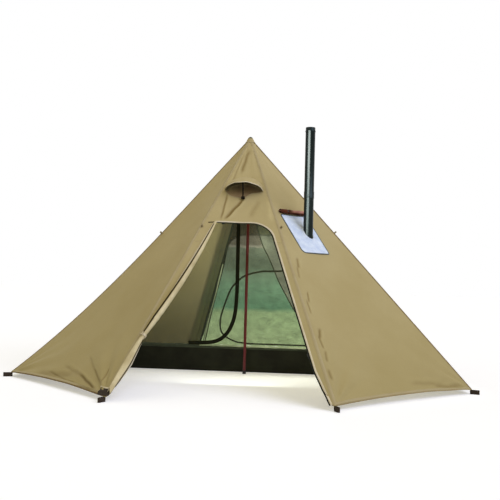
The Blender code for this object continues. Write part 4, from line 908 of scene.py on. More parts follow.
def cap_rings(high_t, lift, top_height, rows, columns=6):
    """Rings of points round the peak, each gore's side split in columns and rounded over the top."""
    rings = []
    for r in range(rows + 1):
        share = r / rows
        t = CAP_LOW + (high_t - CAP_LOW) * share
        ring = []
        for gore in range(SIDES):
            a = ridge_line(gore, np.array(t), lift)
            b = ridge_line(gore + 1, np.array(t), lift)
            ring += [a + (b - a) * c / columns for c in range(columns)]
        ring = np.array(ring)
        ring[:, 2] = np.minimum(ring[:, 2], top_height - 0.0007 * (1.0 - share))
        rings.append(ring)
    return rings


outer = cap_rings(1.0 - 0.006 / SLOPE, CAP_LIFT, TENT_HEIGHT - 0.0004, 14)
inner = cap_rings(1.0 - 0.012 / SLOPE, CAP_INNER_LIFT, TENT_HEIGHT - 0.006, 10)
cap_skin = skinned(inner[::-1] + outer)
around = np.arctan2(cap_skin[0][:, 1], cap_skin[0][:, 0]) * 0.05
cap = add_skins("cap_cloth", [cap_skin], [np.stack((around, cap_skin[0][:, 2]), 1)], seam_cloth, "fly_cloth",
                stands_for=("peak_cap",))
cap_lines = []
for rise in CAP_ROWS:
    for gore in range(SIDES):
        t = np.array(CAP_LOW + rise / SLOPE)
        a, b = ridge_line(gore, t, CAP_ROW_LIFT), ridge_line(gore + 1, t, CAP_ROW_LIFT)
        cap_lines.append((np.linspace(a, b, 12), out_of_gore(gore)))
add_stitches("cap_stitches", cap_lines, "fly_cloth")

# Webbing
# Woven polyester webbing: a dark loop at each hem corner takes a peg, a sand tab beside each ridge takes
# a guy line, and a patch on the peak spreads the pole's push.
LOOP_LENGTH = 0.055
LOOP_TUCK = 0.012
LOOP_BORE = 0.010
WEBBING = 0.0016
WEBBING_WIDTH = 0.025


def webbing_finish(name, colour, rib=0.0022):
    """Flat woven webbing with ribs across it, a little fuzzy."""
    finish, tree, shader = new_finish(name)
    place = wired(tree, "ShaderNodeTexCoord").outputs["Object"]
    ribs = wired(tree, "ShaderNodeTexWave", {"Vector": place, "Scale": WAVE_SPAN / rib, "Distortion": 1.5},
                 bands_direction="Z").outputs["Fac"]
    tint = mixed_colour(tree, noise(tree, place, 260.0), toned(colour, 1.0), toned(colour, 1.9, 0.01))
    bump = wired(tree, "ShaderNodeBump", {"Height": ribs, "Strength": 0.6, "Distance": 0.0003}).outputs[0]
    feed(tree, shader, {"Base Color": tint, "Normal": bump, "Roughness": 0.8, "Specular IOR Level": 0.15})
    return finish


def peg_loop_tree():
    """A webbing loop standing on edge at each corner of the hem."""
    tree, given = new_tree("corner_loops", "Corners", (
        ("Loop length", LOOP_LENGTH), ("Loop bore", LOOP_BORE), ("Webbing", WEBBING),
        ("Webbing width", WEBBING_WIDTH)), "Weave")
    webbing = given["Webbing"]

    def worked(a, b, operation="ADD"):
        return wired(tree, "ShaderNodeMath", {0: a, 1: b}, operation=operation).outputs["Value"]

    def rounded(width, height, radius, count):
        """A rectangle with rounded corners."""
        run = wired(tree, "GeometryNodeCurvePrimitiveQuadrilateral", {"Width": width, "Height": height})
        return wired(tree, "GeometryNodeFilletCurve", {"Curve": run.outputs["Curve"], "Count": count,
                                                       "Radius": radius}, mode="POLY").outputs["Curve"]

    tall = worked(given["Loop bore"], webbing)
    long = worked(given["Loop length"], webbing, "SUBTRACT")
    loop = rounded(long, tall, worked(tall, 0.499, "MULTIPLY"), 9)
    band = rounded(webbing, given["Webbing width"], worked(webbing, 0.35, "MULTIPLY"), 2)
    swept = wired(tree, "GeometryNodeCurveToMesh", {"Curve": loop, "Profile Curve": band, "Fill Caps": False})
    turn = wired(tree, "GeometryNodeInputNamedAttribute", {"Name": "heading"}, data_type="FLOAT")
    heading = wired(tree, "ShaderNodeCombineXYZ", {"Z": turn.outputs["Attribute"]})
    set_out(tree, given["Corners"], swept.outputs["Mesh"], heading.outputs["Vector"], given["Weave"])
    return tree


cream_tape = woven_cloth("cream_tape", (0.800, 0.710, 0.500), (0.700, 0.600, 0.390), thread=0.0011,
                         cloud=14.0)
dark_webbing = webbing_finish("dark_webbing", (0.024, 0.016, 0.009))
corners = bpy.data.meshes.new("corners")
angles = [corner_angle(k) for k in range(SIDES)]
loop_middle = CORNER_RADIUS - LOOP_TUCK + LOOP_LENGTH / 2
corners.from_pydata([(loop_middle * cos(a), loop_middle * sin(a), WEBBING_WIDTH / 2) for a in angles], [], [])
store_values(corners, "heading", angles)
loops = outward_faces(grown("peg_webbing", corners, peg_loop_tree(), {"Weave": dark_webbing}))
add_piece("peg_webbing", loops, [], "webbing", stands_for=tuple(f"peg_loop_{k + 1}" for k in range(SIDES)))

TAB_HEIGHT = 0.945
TAB_UP = (TAB_HEIGHT - HEM_HEIGHT) * SLOPE / RISE
TAB_ASIDE = 0.012
TAB_SIZE = 0.012
TAB_LENGTH = 0.017
TAB_SINK = -0.0002
PAD_HEIGHT = 0.0024
TAB_STEPS = 22


def folded_tab(gore, across, up):
    """A webbing tab sewn flat on a gore, whose folded end stands up as a small loop."""
    shares = (-1, -0.5, 0, 0.5, 1)
    pad = []
    for a, h in ((-1, TAB_SINK), (-1, TAB_SINK + PAD_HEIGHT), (1, TAB_SINK + PAD_HEIGHT), (1, TAB_SINK)):
        pad.append([cloth_at(gore, across + a * TAB_SIZE / 2, up + u * TAB_SIZE / 2, h) for u in shares])
    loop_shares = (-0.42, 0.42, 0.42, -0.42)
    rings = []
    for i in range(TAB_STEPS + 1):
        share = i / TAB_STEPS
        swell = 0.0042 * sin(pi * share) ** 0.6
        rise = TAB_SINK + PAD_HEIGHT * 0.5 + (TAB_LENGTH - TAB_SINK) * (1.0 - abs(2.0 * share - 1.0) ** 1.8)
        offset = -swell * cos(pi * share)
        side = -0.0008 if share < 0.5 else 0.0008
        rings.append([cloth_at(gore, across + offset + side + a * 0.0013, up + u * TAB_SIZE, rise)
                      for a, u in zip((-0.5, -0.5, 0.5, 0.5), loop_shares)])
    maps = [np.array([(a * TAB_SIZE / 2, u * TAB_SIZE / 2) for u in shares for a in (-1, -1, 1, 1)]),
            np.array([(i * 0.002, u * TAB_SIZE) for i in range(TAB_STEPS + 1) for u in loop_shares])]
    return [skinned(np.array(pad).transpose(1, 0, 2)), skinned(rings)], maps


tab_parts, tab_maps = [], []
for gore in range(SIDES):
    own, own_maps = folded_tab(gore, gore_edges(gore, np.array(TAB_UP / SLOPE))[0] + TAB_ASIDE, TAB_UP)
    tab_parts += own
    tab_maps += own_maps
sand_webbing = woven_cloth("sand_webbing", (0.360, 0.290, 0.150), (0.300, 0.240, 0.120), thread=0.0016,
                           relief=0.0003)
add_skins("guy_tabs", tab_parts, tab_maps, sand_webbing, "webbing")


def full_turn(count):
    """Equal steps of angle round a circle."""
    return np.linspace(0.0, 2 * pi, count + 1)[:-1]


def lathed(profile, turns=72, centre=(0.0, 0.0)):
    """Rings of a profile of (radius, height) turned about an upright axis."""
    turn = full_turn(turns)
    return np.array([np.stack((centre[0] + r * np.cos(turn), centre[1] + r * np.sin(turn),
                               np.full(turns, z)), 1) for r, z in profile])


# The patch on the peak is a small dome of cloth, drawn down over the pole's tip, with webbing at its top.
# Its profile is by radius and height above the pole's full height.
PATCH_DOME = ((0.0276, -0.0280), (0.0264, -0.0235), (0.0240, -0.0170), (0.0208, -0.0110),
              (0.0176, -0.0055), (0.0140, 0.0), (0.0100, 0.0040), (0.0055, 0.0066), (0.0004, 0.0074))
PATCH_WEBBING_LOW = TENT_HEIGHT - 0.004
olive_webbing = webbing_finish("olive_webbing", (0.085, 0.078, 0.040))
dome = lathed([(radius, TENT_HEIGHT + rise) for radius, rise in PATCH_DOME], 48)
patch = add_skin("peak_patch", dome, None, [fly_cloth, olive_webbing], "webbing")
for polygon in patch.data.polygons:
    polygon.material_index = int(polygon.center.z > PATCH_WEBBING_LOW)

# Where the doors are hinged, the corner takes more pull, so a patch of webbing is folded over it with
# its upper edge bound.
CORNER_SECTION = [(-0.070, 0.0006), (-0.070, 0.0028), (-0.030, 0.0034), (0.0, 0.0046), (0.012, 0.0034),
                  (0.022, 0.0028), (0.022, 0.0006), (0.0, 0.0016)]
CORNER_EDGE_SECTION = [(a * 1.04, h + (0.0008 if h > 0.002 else -0.0002)) for a, h in CORNER_SECTION]
corner_ts = np.linspace(0.004, 0.046, 12) / SLOPE
edge_ts = np.linspace(0.0445, 0.0525, 4) / SLOPE
edge_map = np.array([(a, t * SLOPE) for t in edge_ts for a, _ in CORNER_EDGE_SECTION])
for ridge, side in ((0, "front"), (4, "rear")):
    add_skin(f"{side}_corner_patch", along_ridge(ridge, corner_ts, CORNER_SECTION), None, dark_webbing,
             "webbing")
    add_skin(f"{side}_corner_binding", along_ridge(ridge, edge_ts, CORNER_EDGE_SECTION), edge_map, cream_tape,
             "webbing")

# Doorways
# Each doorway's edge is bound with cream tape. Its zip's fixed half is sewn behind the binding, with
# moulded teeth that stand into the opening.
BINDING_SECTION = [(-0.0095, -0.0004), (-0.0090, 0.0010), (-0.0045, 0.0013), (0.0, 0.0011), (0.0009, 0.0002),
                   (0.0009, -0.0012), (0.0, -0.0020), (-0.0045, -0.0022), (-0.0090, -0.0019),
                   (-0.0095, -0.0009)]
BINDING_ROWS = (-0.0070, -0.0022)
TAPE_SECTION = [(-0.0090, -0.0024), (0.0048, -0.0021), (0.0052, -0.0017), (0.0048, -0.0012),
                (-0.0090, -0.0018)]
ZIP_END = ((-0.150, 1.2632), (-0.194, 1.2612))
ZIP_END_SECTION = [(-0.0030, 0.0010), (-0.0026, 0.0024), (0.0026, 0.0024), (0.0030, 0.0010)]
TEETH_ASIDE = 0.0060
sides = ((FRONT, "front"), (REAR, "rear"))


def edge_line(low=0.004, step=0.012):
    """The zipped edge, from the foot of its right side up and round to the top left corner."""
    side = [(door_edge(u), u) for u in np.linspace(low, door_corner_arc()[0][1], 60)]
    top_end = (-DOOR_TOP_HALF_WIDTH, DOOR_TOP)
    return divided(side + door_corner_arc()[1:] + [top_end], step)


def left_of(path):
    """Unit directions to the left of a plane path, at each of its points."""
    run = np.gradient(path, axis=0)
    run /= np.linalg.norm(run, axis=1)[:, None]
    return np.stack((-run[:, 1], run[:, 0]), 1)


def beside(path, distance):
    """A plane path's points moved to its left."""
    return path + left_of(path) * distance


def along_cloth(gore, path, section, lift=0.0, creased=True):
    """Rings of a section of (to the left, lift) points carried along a path on a gore."""
    return np.stack([cloth_at(gore, *beside(path, d).T, lift + h, creased) for d, h in section], 1)


def run_map(path, section):
    """The flat map of a band along a path: across its section and along its run."""
    along = np.concatenate(((0.0,), np.cumsum(np.linalg.norm(np.diff(path, axis=0), axis=1))))
    return np.array([(d, u) for u in along for d, _ in section])


def add_band(name, gore, path, section, finish, slot, **more):
    """A band of a section carried along a path on a gore."""
    return add_skin(name, along_cloth(gore, path, section), run_map(path, section), finish, slot, **more)


def ring_map(rings, size, along, around):
    """The flat map of equal rings, whose points and rings lie equal steps apart."""
    return np.array([(k * around, r * along) for r in range(rings) for k in range(size)])


def tooth_bar(tree):
    """A tapered square bar that stands on its foot."""
    tooth = wired(tree, "GeometryNodeMeshCone", {"Vertices": 4, "Radius Top": 0.55, "Radius Bottom": 0.72,
                                                 "Depth": 1.0})
    given = {"Geometry": tooth.outputs["Mesh"], "Rotation": (0.0, 0.0, pi / 4),
             "Translation": (0.0, 0.0, -0.5)}
    return wired(tree, "GeometryNodeTransform", given).outputs["Geometry"]


def moulded(name, colour, rough=0.45, metal=0.0, grain=240.0, relief=0.00006, gloss=0.5):
    """Moulded plastic or coated metal with a fine grain and slightly uneven gloss."""
    finish, tree, shader = new_finish(name)
    grit = noise(tree, wired(tree, "ShaderNodeTexCoord").outputs["Object"], grain, Detail=4.0)
    dull = ranged(tree, grit, rough - 0.08, rough + 0.10)
    tint = mixed_colour(tree, grit, toned(colour, 0.8), toned(colour, 1.2))
    bump = wired(tree, "ShaderNodeBump", {"Height": grit, "Strength": 0.4, "Distance": relief}).outputs[0]
    feed(tree, shader, {"Base Color": tint, "Normal": bump, "Roughness": dull, "Metallic": metal,
                        "Specular IOR Level": gloss})
    return finish


def refinish(name, finish):
    """Give a node of the frame its finish."""
    node = frame["nodes"][name]
    node.data.materials.clear()
    node.data.materials.append(finish)


TOOTH_SIZES = (("Tooth width", 0.0017), ("Tooth length", 0.0050), ("Tooth height", 0.0030))
teeth = row_tree("zip_teeth", ("Tooth pitch", 0.0028), TOOTH_SIZES, "Plastic", tooth_bar)
zip_tape = woven_cloth("zip_tape", (0.010, 0.010, 0.004), (0.017, 0.015, 0.007), thread=0.0010, cloud=20.0,
                       sheen=0.0, gloss=0.04)
zip_plastic = moulded("zip_plastic", (0.006, 0.009, 0.005), 0.6, gloss=0.2)
slider_metal = moulded("slider_metal", (0.018, 0.018, 0.014), 0.50, 0.5, gloss=0.15)
for gore, side in sides:
    path = edge_line()
    hinge = np.array([(hinge_edge(u), u) for u in np.linspace(DOOR_TOP - 0.002, 0.010, 110)])
    skins = [skinned(along_cloth(gore, line, BINDING_SECTION)) for line in (path, hinge)]
    maps = [run_map(line, BINDING_SECTION) for line in (path, hinge)]
    add_skins(f"{side}_binding", skins, maps, cream_tape, "door_cloth")
    rows = [cloth_at(gore, *beside(path, d).T, 0.0013) for d in BINDING_ROWS]
    add_stitches(f"{side}_binding_stitches", [(row, out_of_gore(gore)) for row in rows], "door_cloth")
    add_band(f"{side}_zip_tape", gore, path, TAPE_SECTION, zip_tape, "zip", stands_for=(f"{side}_door_zip",))
    add_band(f"{side}_zip_end", gore, np.linspace(*ZIP_END, 6), ZIP_END_SECTION, zip_tape, "zip")
    bead_line = cloth_at(gore, *beside(path, TEETH_ASIDE).T, 0.0004)
    add_row(f"{side}_zip_teeth", [(bead_line, out_of_gore(gore))], "zip", teeth, {"Plastic": zip_plastic})
    for slider in ("lower", "upper"):
        refinish(f"{side}_{slider}_slider", slider_metal)

# Rolled doors
# The whole door is rolled up to its hinge side and tied low down, so it hangs as a thin roll of many
# turns, its bound edge showing along it, with the loose foot fanned out below the tie.
ROLL_SHEAR = -0.35
ROLL_TURNS = 11
ROLL_ROWS = 150
ROLL_PER_TURN = 18
ROLL_SAG = 0.024
ROLL_SPLIT = 0.715
NECK_RADIUS = 0.013
STAND_LOW = 0.0006
STAND_RISE = 0.0032
toggle_plastic = moulded("toggle_plastic", (0.42, 0.34, 0.18), 0.5)
door_cloth = woven_cloth("door_cloth", (0.760, 0.655, 0.385), (0.560, 0.460, 0.240), thread=0.0010,
                         cloud=11.0)
# The door's zip half is dark brown as painted shade, for the shadow beside the roll and under the loose
# foot's edge.
shadow_brown_tape = woven_cloth("shadow_brown_tape", (0.060, 0.042, 0.012), (0.040, 0.027, 0.008), thread=0.0010,
                         cloud=20.0, sheen=0.0, gloss=0.04)
knot_at = np.array((KNOT_STRIP - 0.002 - half_width(KNOT_HEIGHT), KNOT_HEIGHT))
roll_top = np.array((0.002 - DOOR_TOP_HALF_WIDTH, DOOR_TOP - 0.004))
roll_end = np.array((0.012 + 0.006 - half_width(0.030), 0.030))
sag_run = np.array((roll_top[0] - knot_at[0] + 4.0 * ROLL_SAG, roll_top[1] - knot_at[1]))
knot_way = sag_run / hypot(*sag_run)


def roll_station(share):
    """Middle, half width, half depth and standing height of the roll, from its top at 0 to its foot at 1."""
    if share <= ROLL_SPLIT:
        run = share / ROLL_SPLIT
        radius = 0.007 + 0.011 * sin(pi * min(1.0, run * 1.25) / 2)
        pinch = eased((run - 0.84) / 0.16)
        radius += (NECK_RADIUS - radius) * float(pinch)
        middle = roll_top + (knot_at - roll_top) * run + np.array((ROLL_SAG * 4.0 * run * (1.0 - run), 0.0))
        return middle, radius, radius, STAND_LOW + STAND_RISE * max(0.0, (run - 0.6) / 0.4)
    run = (share - ROLL_SPLIT) / (1.0 - ROLL_SPLIT)
    widen = float(eased((run - 0.05) / 0.55))
    middle = knot_at + (roll_end - knot_at) * run
    wide = NECK_RADIUS + 0.011 * widen - 0.012 * run ** 3
    return middle, wide, NECK_RADIUS - 0.004 * widen, STAND_LOW + STAND_RISE * (1.0 - run)


def rolled_door(gore, name):
    """The door's cloth as a spiral of turns round the roll's middle line."""
    around = ROLL_TURNS * ROLL_PER_TURN
    points, cuts = [], []
    for r in range(ROLL_ROWS + 1):
        share = r / ROLL_ROWS
        middle, wide, deep, stand = roll_station(share)
        loose = max(0.0, (share - 0.76) / 0.24)
        for k in range(around + 1):
            angle = 2 * pi * k / ROLL_PER_TURN + 1.75
            out = (0.12 + 0.88 * k / around) * (1.0 - 0.04 * (k < around - ROLL_PER_TURN))
            crease = 0.035 * sin(3 * angle + 9.0 * share) + 0.025 * sin(7 * angle - 23.0 * share + 1.0)
            crease += loose * (0.09 * sin(5 * angle + 4.0 * share) + 0.05 * sin(11 * angle - 11.0 * share))
            gather = 0.05 * np.exp(-((share - ROLL_SPLIT) / 0.045) ** 2) * sin(9 * angle)
            gather += 0.07 * np.exp(-((share - 0.62) / 0.09) ** 2) * sin(5 * angle + 160.0 * share) * out
            size = out * (0.96 + crease * out + gather) - 0.02
            a, u = wide * size * cos(angle), wide * size * ROLL_SHEAR * cos(angle)
            u += loose * 0.016 * sin(3 * angle + 2.0) * out
            h = stand + deep * (1.0 + size * sin(angle))
            points.append((middle[0] + a, max(middle[1] + u, 0.008), max(h, 0.0004)))
            cuts.append((k / around * 0.80, share * 1.27))
    points, faces = skinned(np.array(points).reshape(ROLL_ROWS + 1, around + 1, 3), loop=False)
    mesh = fill_mesh(name, cloth_at(gore, *points.T, creased=False), faces, cuts)
    mesh.flip_normals()
    return mesh


# The door's half of the zip, dark brown as painted shade in the gap beside the roll and down the loose foot's
# edge: which rows it runs over, at which angle, and its section round the roll.
ZIP_SHADE_RUNS = ((3, 108, 1.75), (110, 147, -0.75))
ZIP_SHADE_ROUND = ((-0.10, 0.97), (0.05, 1.01), (0.35, 1.03), (0.70, 1.03), (1.10, 1.01), (1.14, 0.94), (0.5, 0.90))
BAND_SECTION = ((0.0162, -0.5), (0.0166, -0.3), (0.0166, 0.3), (0.0162, 0.5), (0.0150, 0.5), (0.0150, -0.5),
                (0.0162, -0.5))
BAND_WIDTH = 0.012
BAND_STEPS = 40
TOGGLE_STEPS = 16
TOGGLE_LENGTH = 0.030
TOGGLE_RADIUS = 0.0040
TOGGLE_HEIGHT = 0.0166 + 0.0036


def door_zip_shade_strip(gore):
    """The zip tape on the roll's outermost turn, and down the loose foot's edge, dark as painted shade: skins
    and maps.
    """
    strips, maps = [], []
    for first, last, turned in ZIP_SHADE_RUNS:
        rings = []
        for r in range(first, last):
            middle, wide, deep, stand = roll_station(r / ROLL_ROWS)
            ring = []
            for turn_on, out in ZIP_SHADE_ROUND:
                a = wide * out * cos(turned + turn_on)
                h = max(stand + deep * (1.0 + out * sin(turned + turn_on)), 0.0006)
                ring.append(cloth_at(gore, middle[0] + a, middle[1] + a * ROLL_SHEAR, h, creased=False))
            rings.append(ring)
        strips.append(skinned(np.array(rings)))
        maps.append(np.array([(turn_on * 0.016, r * 0.0085) for r in range(first, last)
                              for turn_on, _ in ZIP_SHADE_ROUND]))
    return strips, maps


for gore, side in sides:
    name = f"{side}_rolled_door"
    door = add_piece(name, rolled_door(gore, name), door_cloth, "door_cloth",
                     stands_for=(f"{side}_door_roll",))
    add_skins(f"{side}_door_zip_shade_strip", *door_zip_shade_strip(gore), shadow_brown_tape, "zip")
    neck, _, _, stand = roll_station(ROLL_SPLIT)
    rings = []
    for radius, shift in BAND_SECTION:
        turn = full_turn(BAND_STEPS)
        ruck = radius * (1.0 + 0.03 * np.sin(7 * turn + shift * 3))
        rings.append(cloth_at(gore, neck[0] + ruck * np.cos(turn) + knot_way[0] * BAND_WIDTH * shift,
                              neck[1] + ruck * ROLL_SHEAR * np.cos(turn) + knot_way[1] * BAND_WIDTH * shift,
                              stand + NECK_RADIUS + ruck * np.sin(turn), creased=False))
    add_skin(f"{side}_tie_band", rings, ring_map(len(rings), BAND_STEPS, 0.004, 0.0026), cream_tape,
             "webbing", ends=False, stands_for=(f"{side}_door_tie",))
    bar = []
    turn = full_turn(TOGGLE_STEPS)
    for share in np.linspace(0.0, 1.0, 9):
        radius = TOGGLE_RADIUS * max(0.35, 1.0 - abs(2.0 * share - 1.0) ** 6 * 0.65)
        up = np.full(TOGGLE_STEPS, neck[1] + TOGGLE_LENGTH * (share - 0.5))
        bar.append(cloth_at(gore, neck[0] + radius * np.cos(turn), up,
                            stand + NECK_RADIUS + TOGGLE_HEIGHT + radius * np.sin(turn), creased=False))
    add_skin(f"{side}_toggle", bar, None, toggle_plastic, "webbing")

# Vents
# Above each doorway a lens-shaped hole is covered by fine netting and by a hood of cloth, which a short
# plastic strut props open. The hood's underside is a dark copy of its cloth, painted shade, and its rim is
# bound.
HOOD_HALF_WIDTH = 0.122
HOOD_SEAM_RISE = 0.140
HOOD_RIM_DROP = 0.015
HOOD_REACH = 0.095
HOOD_LIFT = 0.0026
HOOD_COLUMNS = 60
HOOD_ROWS = 18
HOOD_SKIN = 0.0011
HOOD_SEAMS = (0.015, 0.055)
RIM_RADIUS = 0.0024
LIP_SECTION = [(-0.0005, -0.0016), (-0.0008, 0.0002), (0.0, 0.0010), (0.0055, 0.0010), (0.0062, 0.0),
               (0.0055, -0.0018)]
NET_HALF_WIDTH = 0.118
NET_HALF_HEIGHT = 0.075


def hood_spot(angle, v):
    """Place and height on the gore of a hood's point, from its sewn seam at v = 0 to its free rim."""
    lift = np.sin(angle)
    seam = VENT_UP + HOOD_SEAM_RISE * lift
    rim = VENT_UP - HOOD_RIM_DROP * lift
    height = HOOD_LIFT + HOOD_REACH * lift * (1.0 - (1.0 - v) ** 1.4)
    return HOOD_HALF_WIDTH * np.cos(angle), seam + (rim - seam) * v, height


def netting(name, colour, holes=0.45, mesh_size=0.0022, clear=0.5):
    """Fine knitted netting: its threads show as a faint grid, and the rest lets one see through."""
    finish, tree, shader = new_finish(name)
    threads = crossed_waves(tree, mesh_size, "MAXIMUM")
    cover = ranged(tree, threads, max(0.0, clear - 0.15), min(1.0, clear + 0.35), holes)
    slack = noise(tree, wired(tree, "ShaderNodeTexCoord").outputs["Object"], 5.0)
    tint = mixed_colour(tree, slack, toned(colour, 0.7), toned(colour, 1.3))
    feed(tree, shader, {"Alpha": cover, "Base Color": tint, "Roughness": 0.85, "Specular IOR Level": 0.2})
    return finish


def face_along(mesh, way):
    """Turn an open sheet's faces so that most of them look along a direction."""
    if sum((Vector(p.normal) * p.area for p in mesh.polygons), Vector()).dot(Vector(way)) < 0:
        mesh.flip_normals()


vent_netting = netting("vent_netting", (0.340, 0.235, 0.120), clear=0.80)
# The hood's underside: the sand cloth darkened, painted shade.
shaded_hood_underside = woven_cloth("shaded_hood_underside", (0.045, 0.036, 0.016), (0.032, 0.026, 0.012), cloud=9.0)
strut_plastic = moulded("strut_plastic", (0.014, 0.011, 0.007), 0.8, gloss=0.05)
hood_angles = np.linspace(0.07, pi - 0.07, HOOD_COLUMNS + 1)
for gore, side in sides:
    spots = []
    for r in range(HOOD_ROWS + 1):
        v = r / HOOD_ROWS
        a, u, h = hood_spot(hood_angles, v)
        ripple = 0.0016 * np.sin(9.0 * hood_angles + 2.0) * v
        ripple = ripple + 0.0011 * np.sin(17.0 * hood_angles) * (1 - v) * v * 4
        spots.append(np.stack((a, u, h + ripple), 1))
    flat, faces = skinned(spots, loop=False)
    mesh = fill_mesh(f"{side}_hood", cloth_at(gore, *flat.T, creased=False), faces, flat[:, :2])
    hood = add_piece(f"{side}_hood", mesh, [fly_cloth, shaded_hood_underside], "fly_cloth",
                     stands_for=(f"{side}_vent_hood",))
    face_along(mesh, out_of_gore(gore))
    thicken(hood, HOOD_SKIN).material_offset = 1
    rim = spots[-1]
    tube = []
    for k, (a, u, h) in enumerate(rim):
        ends = RIM_RADIUS * (0.35 + 0.65 * sin(pi * k / HOOD_COLUMNS) ** 0.3)
        tube.append([cloth_at(gore, a, u + ends * 1.5 * cos(w), h - 0.0006 + ends * sin(w), creased=False)
                     for w in full_turn(8)])
    rim_map = np.array([(k * 0.003, w * 0.002) for k in range(HOOD_COLUMNS + 1) for w in range(8)])
    add_skin(f"{side}_hood_rim", tube, rim_map, cream_tape, "fly_cloth")
    rows = [(a, u, h + 0.0004) for a, u, h in (hood_spot(hood_angles, v) for v in HOOD_SEAMS)]
    rows.append((rim[:, 0], rim[:, 1] + 0.0060, rim[:, 2] + 0.0006))
    lines = [(cloth_at(gore, *row, creased=False), out_of_gore(gore)) for row in rows]
    add_stitches(f"{side}_hood_stitches", lines, "fly_cloth")
    lip = np.concatenate((vent_hole(), vent_hole()[:1]))
    add_skin(f"{side}_vent_lip", along_cloth(gore, lip, [(-d, h) for d, h in LIP_SECTION]),
             run_map(lip, LIP_SECTION), seam_cloth, "fly_cloth", ends=False)
    points, faces = cut_cloth(vent_hole(0.010), (), 0.008)
    from_rim = 1.0 - ((points[:, 0] / NET_HALF_WIDTH) ** 2
                      + ((points[:, 1] - VENT_UP) / NET_HALF_HEIGHT) ** 2)
    sunk = cloth_at(gore, *points.T, -0.0031 - 0.003 * eased(from_rim), creased=False)
    mesh = fill_mesh(f"{side}_netting", sunk, faces, points)
    net = add_piece(f"{side}_netting", mesh, vent_netting, "netting", stands_for=(f"{side}_vent_net",))
    refinish(f"{side}_vent_strut", strut_plastic)

# Stove jack
# A pale heat-proof sheet of coated glass cloth lies over a window in one gore, bound in dark tape and
# sewn down, with a short sleeve round the pipe. Its rain flap is rolled up above it.
JACK_CORNER = 0.030
JACK_SKIN = 0.0016
PIPE_ACROSS = -0.030
PIPE_UP = SLOPE - 0.929
PIPE_RADIUS = 0.030
LEAN = SLOPE / APOTHEM
JACK_LIFT = 0.0036
JACK_RISE = 0.0145
JACK_ROWS = (0.0072, 0.0115)
JACK_TAPE_SECTION = [(-0.0008, -0.0030), (-0.0010, 0.0004), (0.0, 0.0010), (0.0042, 0.0010), (0.0050, 0.0002),
                     (0.0048, -0.0012)]
SLEEVE_SECTION = ((0.0098, 0.0002), (0.0070, 0.0014), (0.0030, 0.0034), (0.0012, 0.0052), (0.0006, 0.0052),
                  (0.0006, 0.0004), (0.0040, -0.0012), (0.0098, 0.0002))
SLEEVE_STEPS = 64


def jack_outline(inset=0.0):
    """The sheet's outline: its lower left corner is widely rounded and the others a little."""
    points = []
    for x, y, start in ((1, 1, 0.0), (-1, 1, pi / 2), (-1, -1, pi), (1, -1, 3 * pi / 2)):
        radius = JACK_CORNER * (1.0 if (x, y) == (-1, -1) else 0.42) - inset
        radius = max(radius, 0.002)
        across = JACK_ACROSS + x * (JACK_WIDTH / 2 - inset - radius)
        up = JACK_UP + y * (JACK_HEIGHT / 2 - inset - radius)
        turn = [start + pi / 2 * i / 6 for i in range(7)]
        points += [(across + radius * cos(a), up + radius * sin(a)) for a in turn]
    return np.array(points)


def pipe_hole(grow, count=48):
    """The pipe's oval section by the slanting cloth, grown by a distance or by one for each point."""
    turn = full_turn(count)
    return np.stack((PIPE_ACROSS + (PIPE_RADIUS + grow) * np.cos(turn),
                     PIPE_UP + (PIPE_RADIUS * LEAN + grow) * np.sin(turn)), 1)


def jack_at(across, up, lift=0.0):
    """The sheet lies flat, puckers a little along its sewn edge and is drawn up round the pipe."""
    out = np.hypot((across - PIPE_ACROSS) / (PIPE_RADIUS + 0.001),
                   (up - PIPE_UP) / (PIPE_RADIUS * LEAN + 0.001))
    edge = np.minimum(JACK_WIDTH / 2 - np.abs(across - JACK_ACROSS), JACK_HEIGHT / 2 - np.abs(up - JACK_UP))
    pucker = 0.0007 * np.exp(-edge / 0.012) * np.sin(2 * pi * (across + up) / 0.022)
    wave = 0.0010 * np.sin(across * 31.0 + 0.7) * np.sin(up * 23.0) * eased(edge / 0.03)
    turn = np.arctan2(up - PIPE_UP, across - PIPE_ACROSS)
    fan = 1.0 + 0.16 * np.sin(6.0 * turn + 0.6) * eased((out - 1.0) / 0.6)
    drawn = JACK_RISE * fan * np.exp(-np.clip(out - 1.0, 0.0, None) * 1.15) * eased(edge / 0.045)
    return cloth_at(JACK_GORE, across, up + drawn * RISE / APOTHEM,
                    JACK_LIFT - 0.0008 + pucker + wave + drawn + lift, creased=False)


jack_cloth = woven_cloth("glass_cloth", (0.800, 0.885, 0.980), (0.620, 0.720, 0.880), thread=0.0016,
                         rough=0.42, relief=0.0002, cloud=26.0, sheen=0.05)
navy_tape = woven_cloth("navy_tape", (0.055, 0.075, 0.080), (0.130, 0.150, 0.150), thread=0.0011, cloud=20.0)
pale_thread = thread_finish("pale_thread", (0.60, 0.64, 0.70))
points, faces = cut_cloth(jack_outline(), (pipe_hole(0.0004),), 0.0075)
mesh = fill_mesh("jack_sheet", jack_at(*points.T), faces, points)
jack = add_piece("jack_sheet", mesh, jack_cloth, "jack_cloth", stands_for=("stove_jack",))
thicken(jack, JACK_SKIN)


def jack_row(inset):
    """The sheet's outline as a closed row of points, set in by a distance."""
    return divided(list(jack_outline(inset)) + [jack_outline(inset)[0]], 0.006)


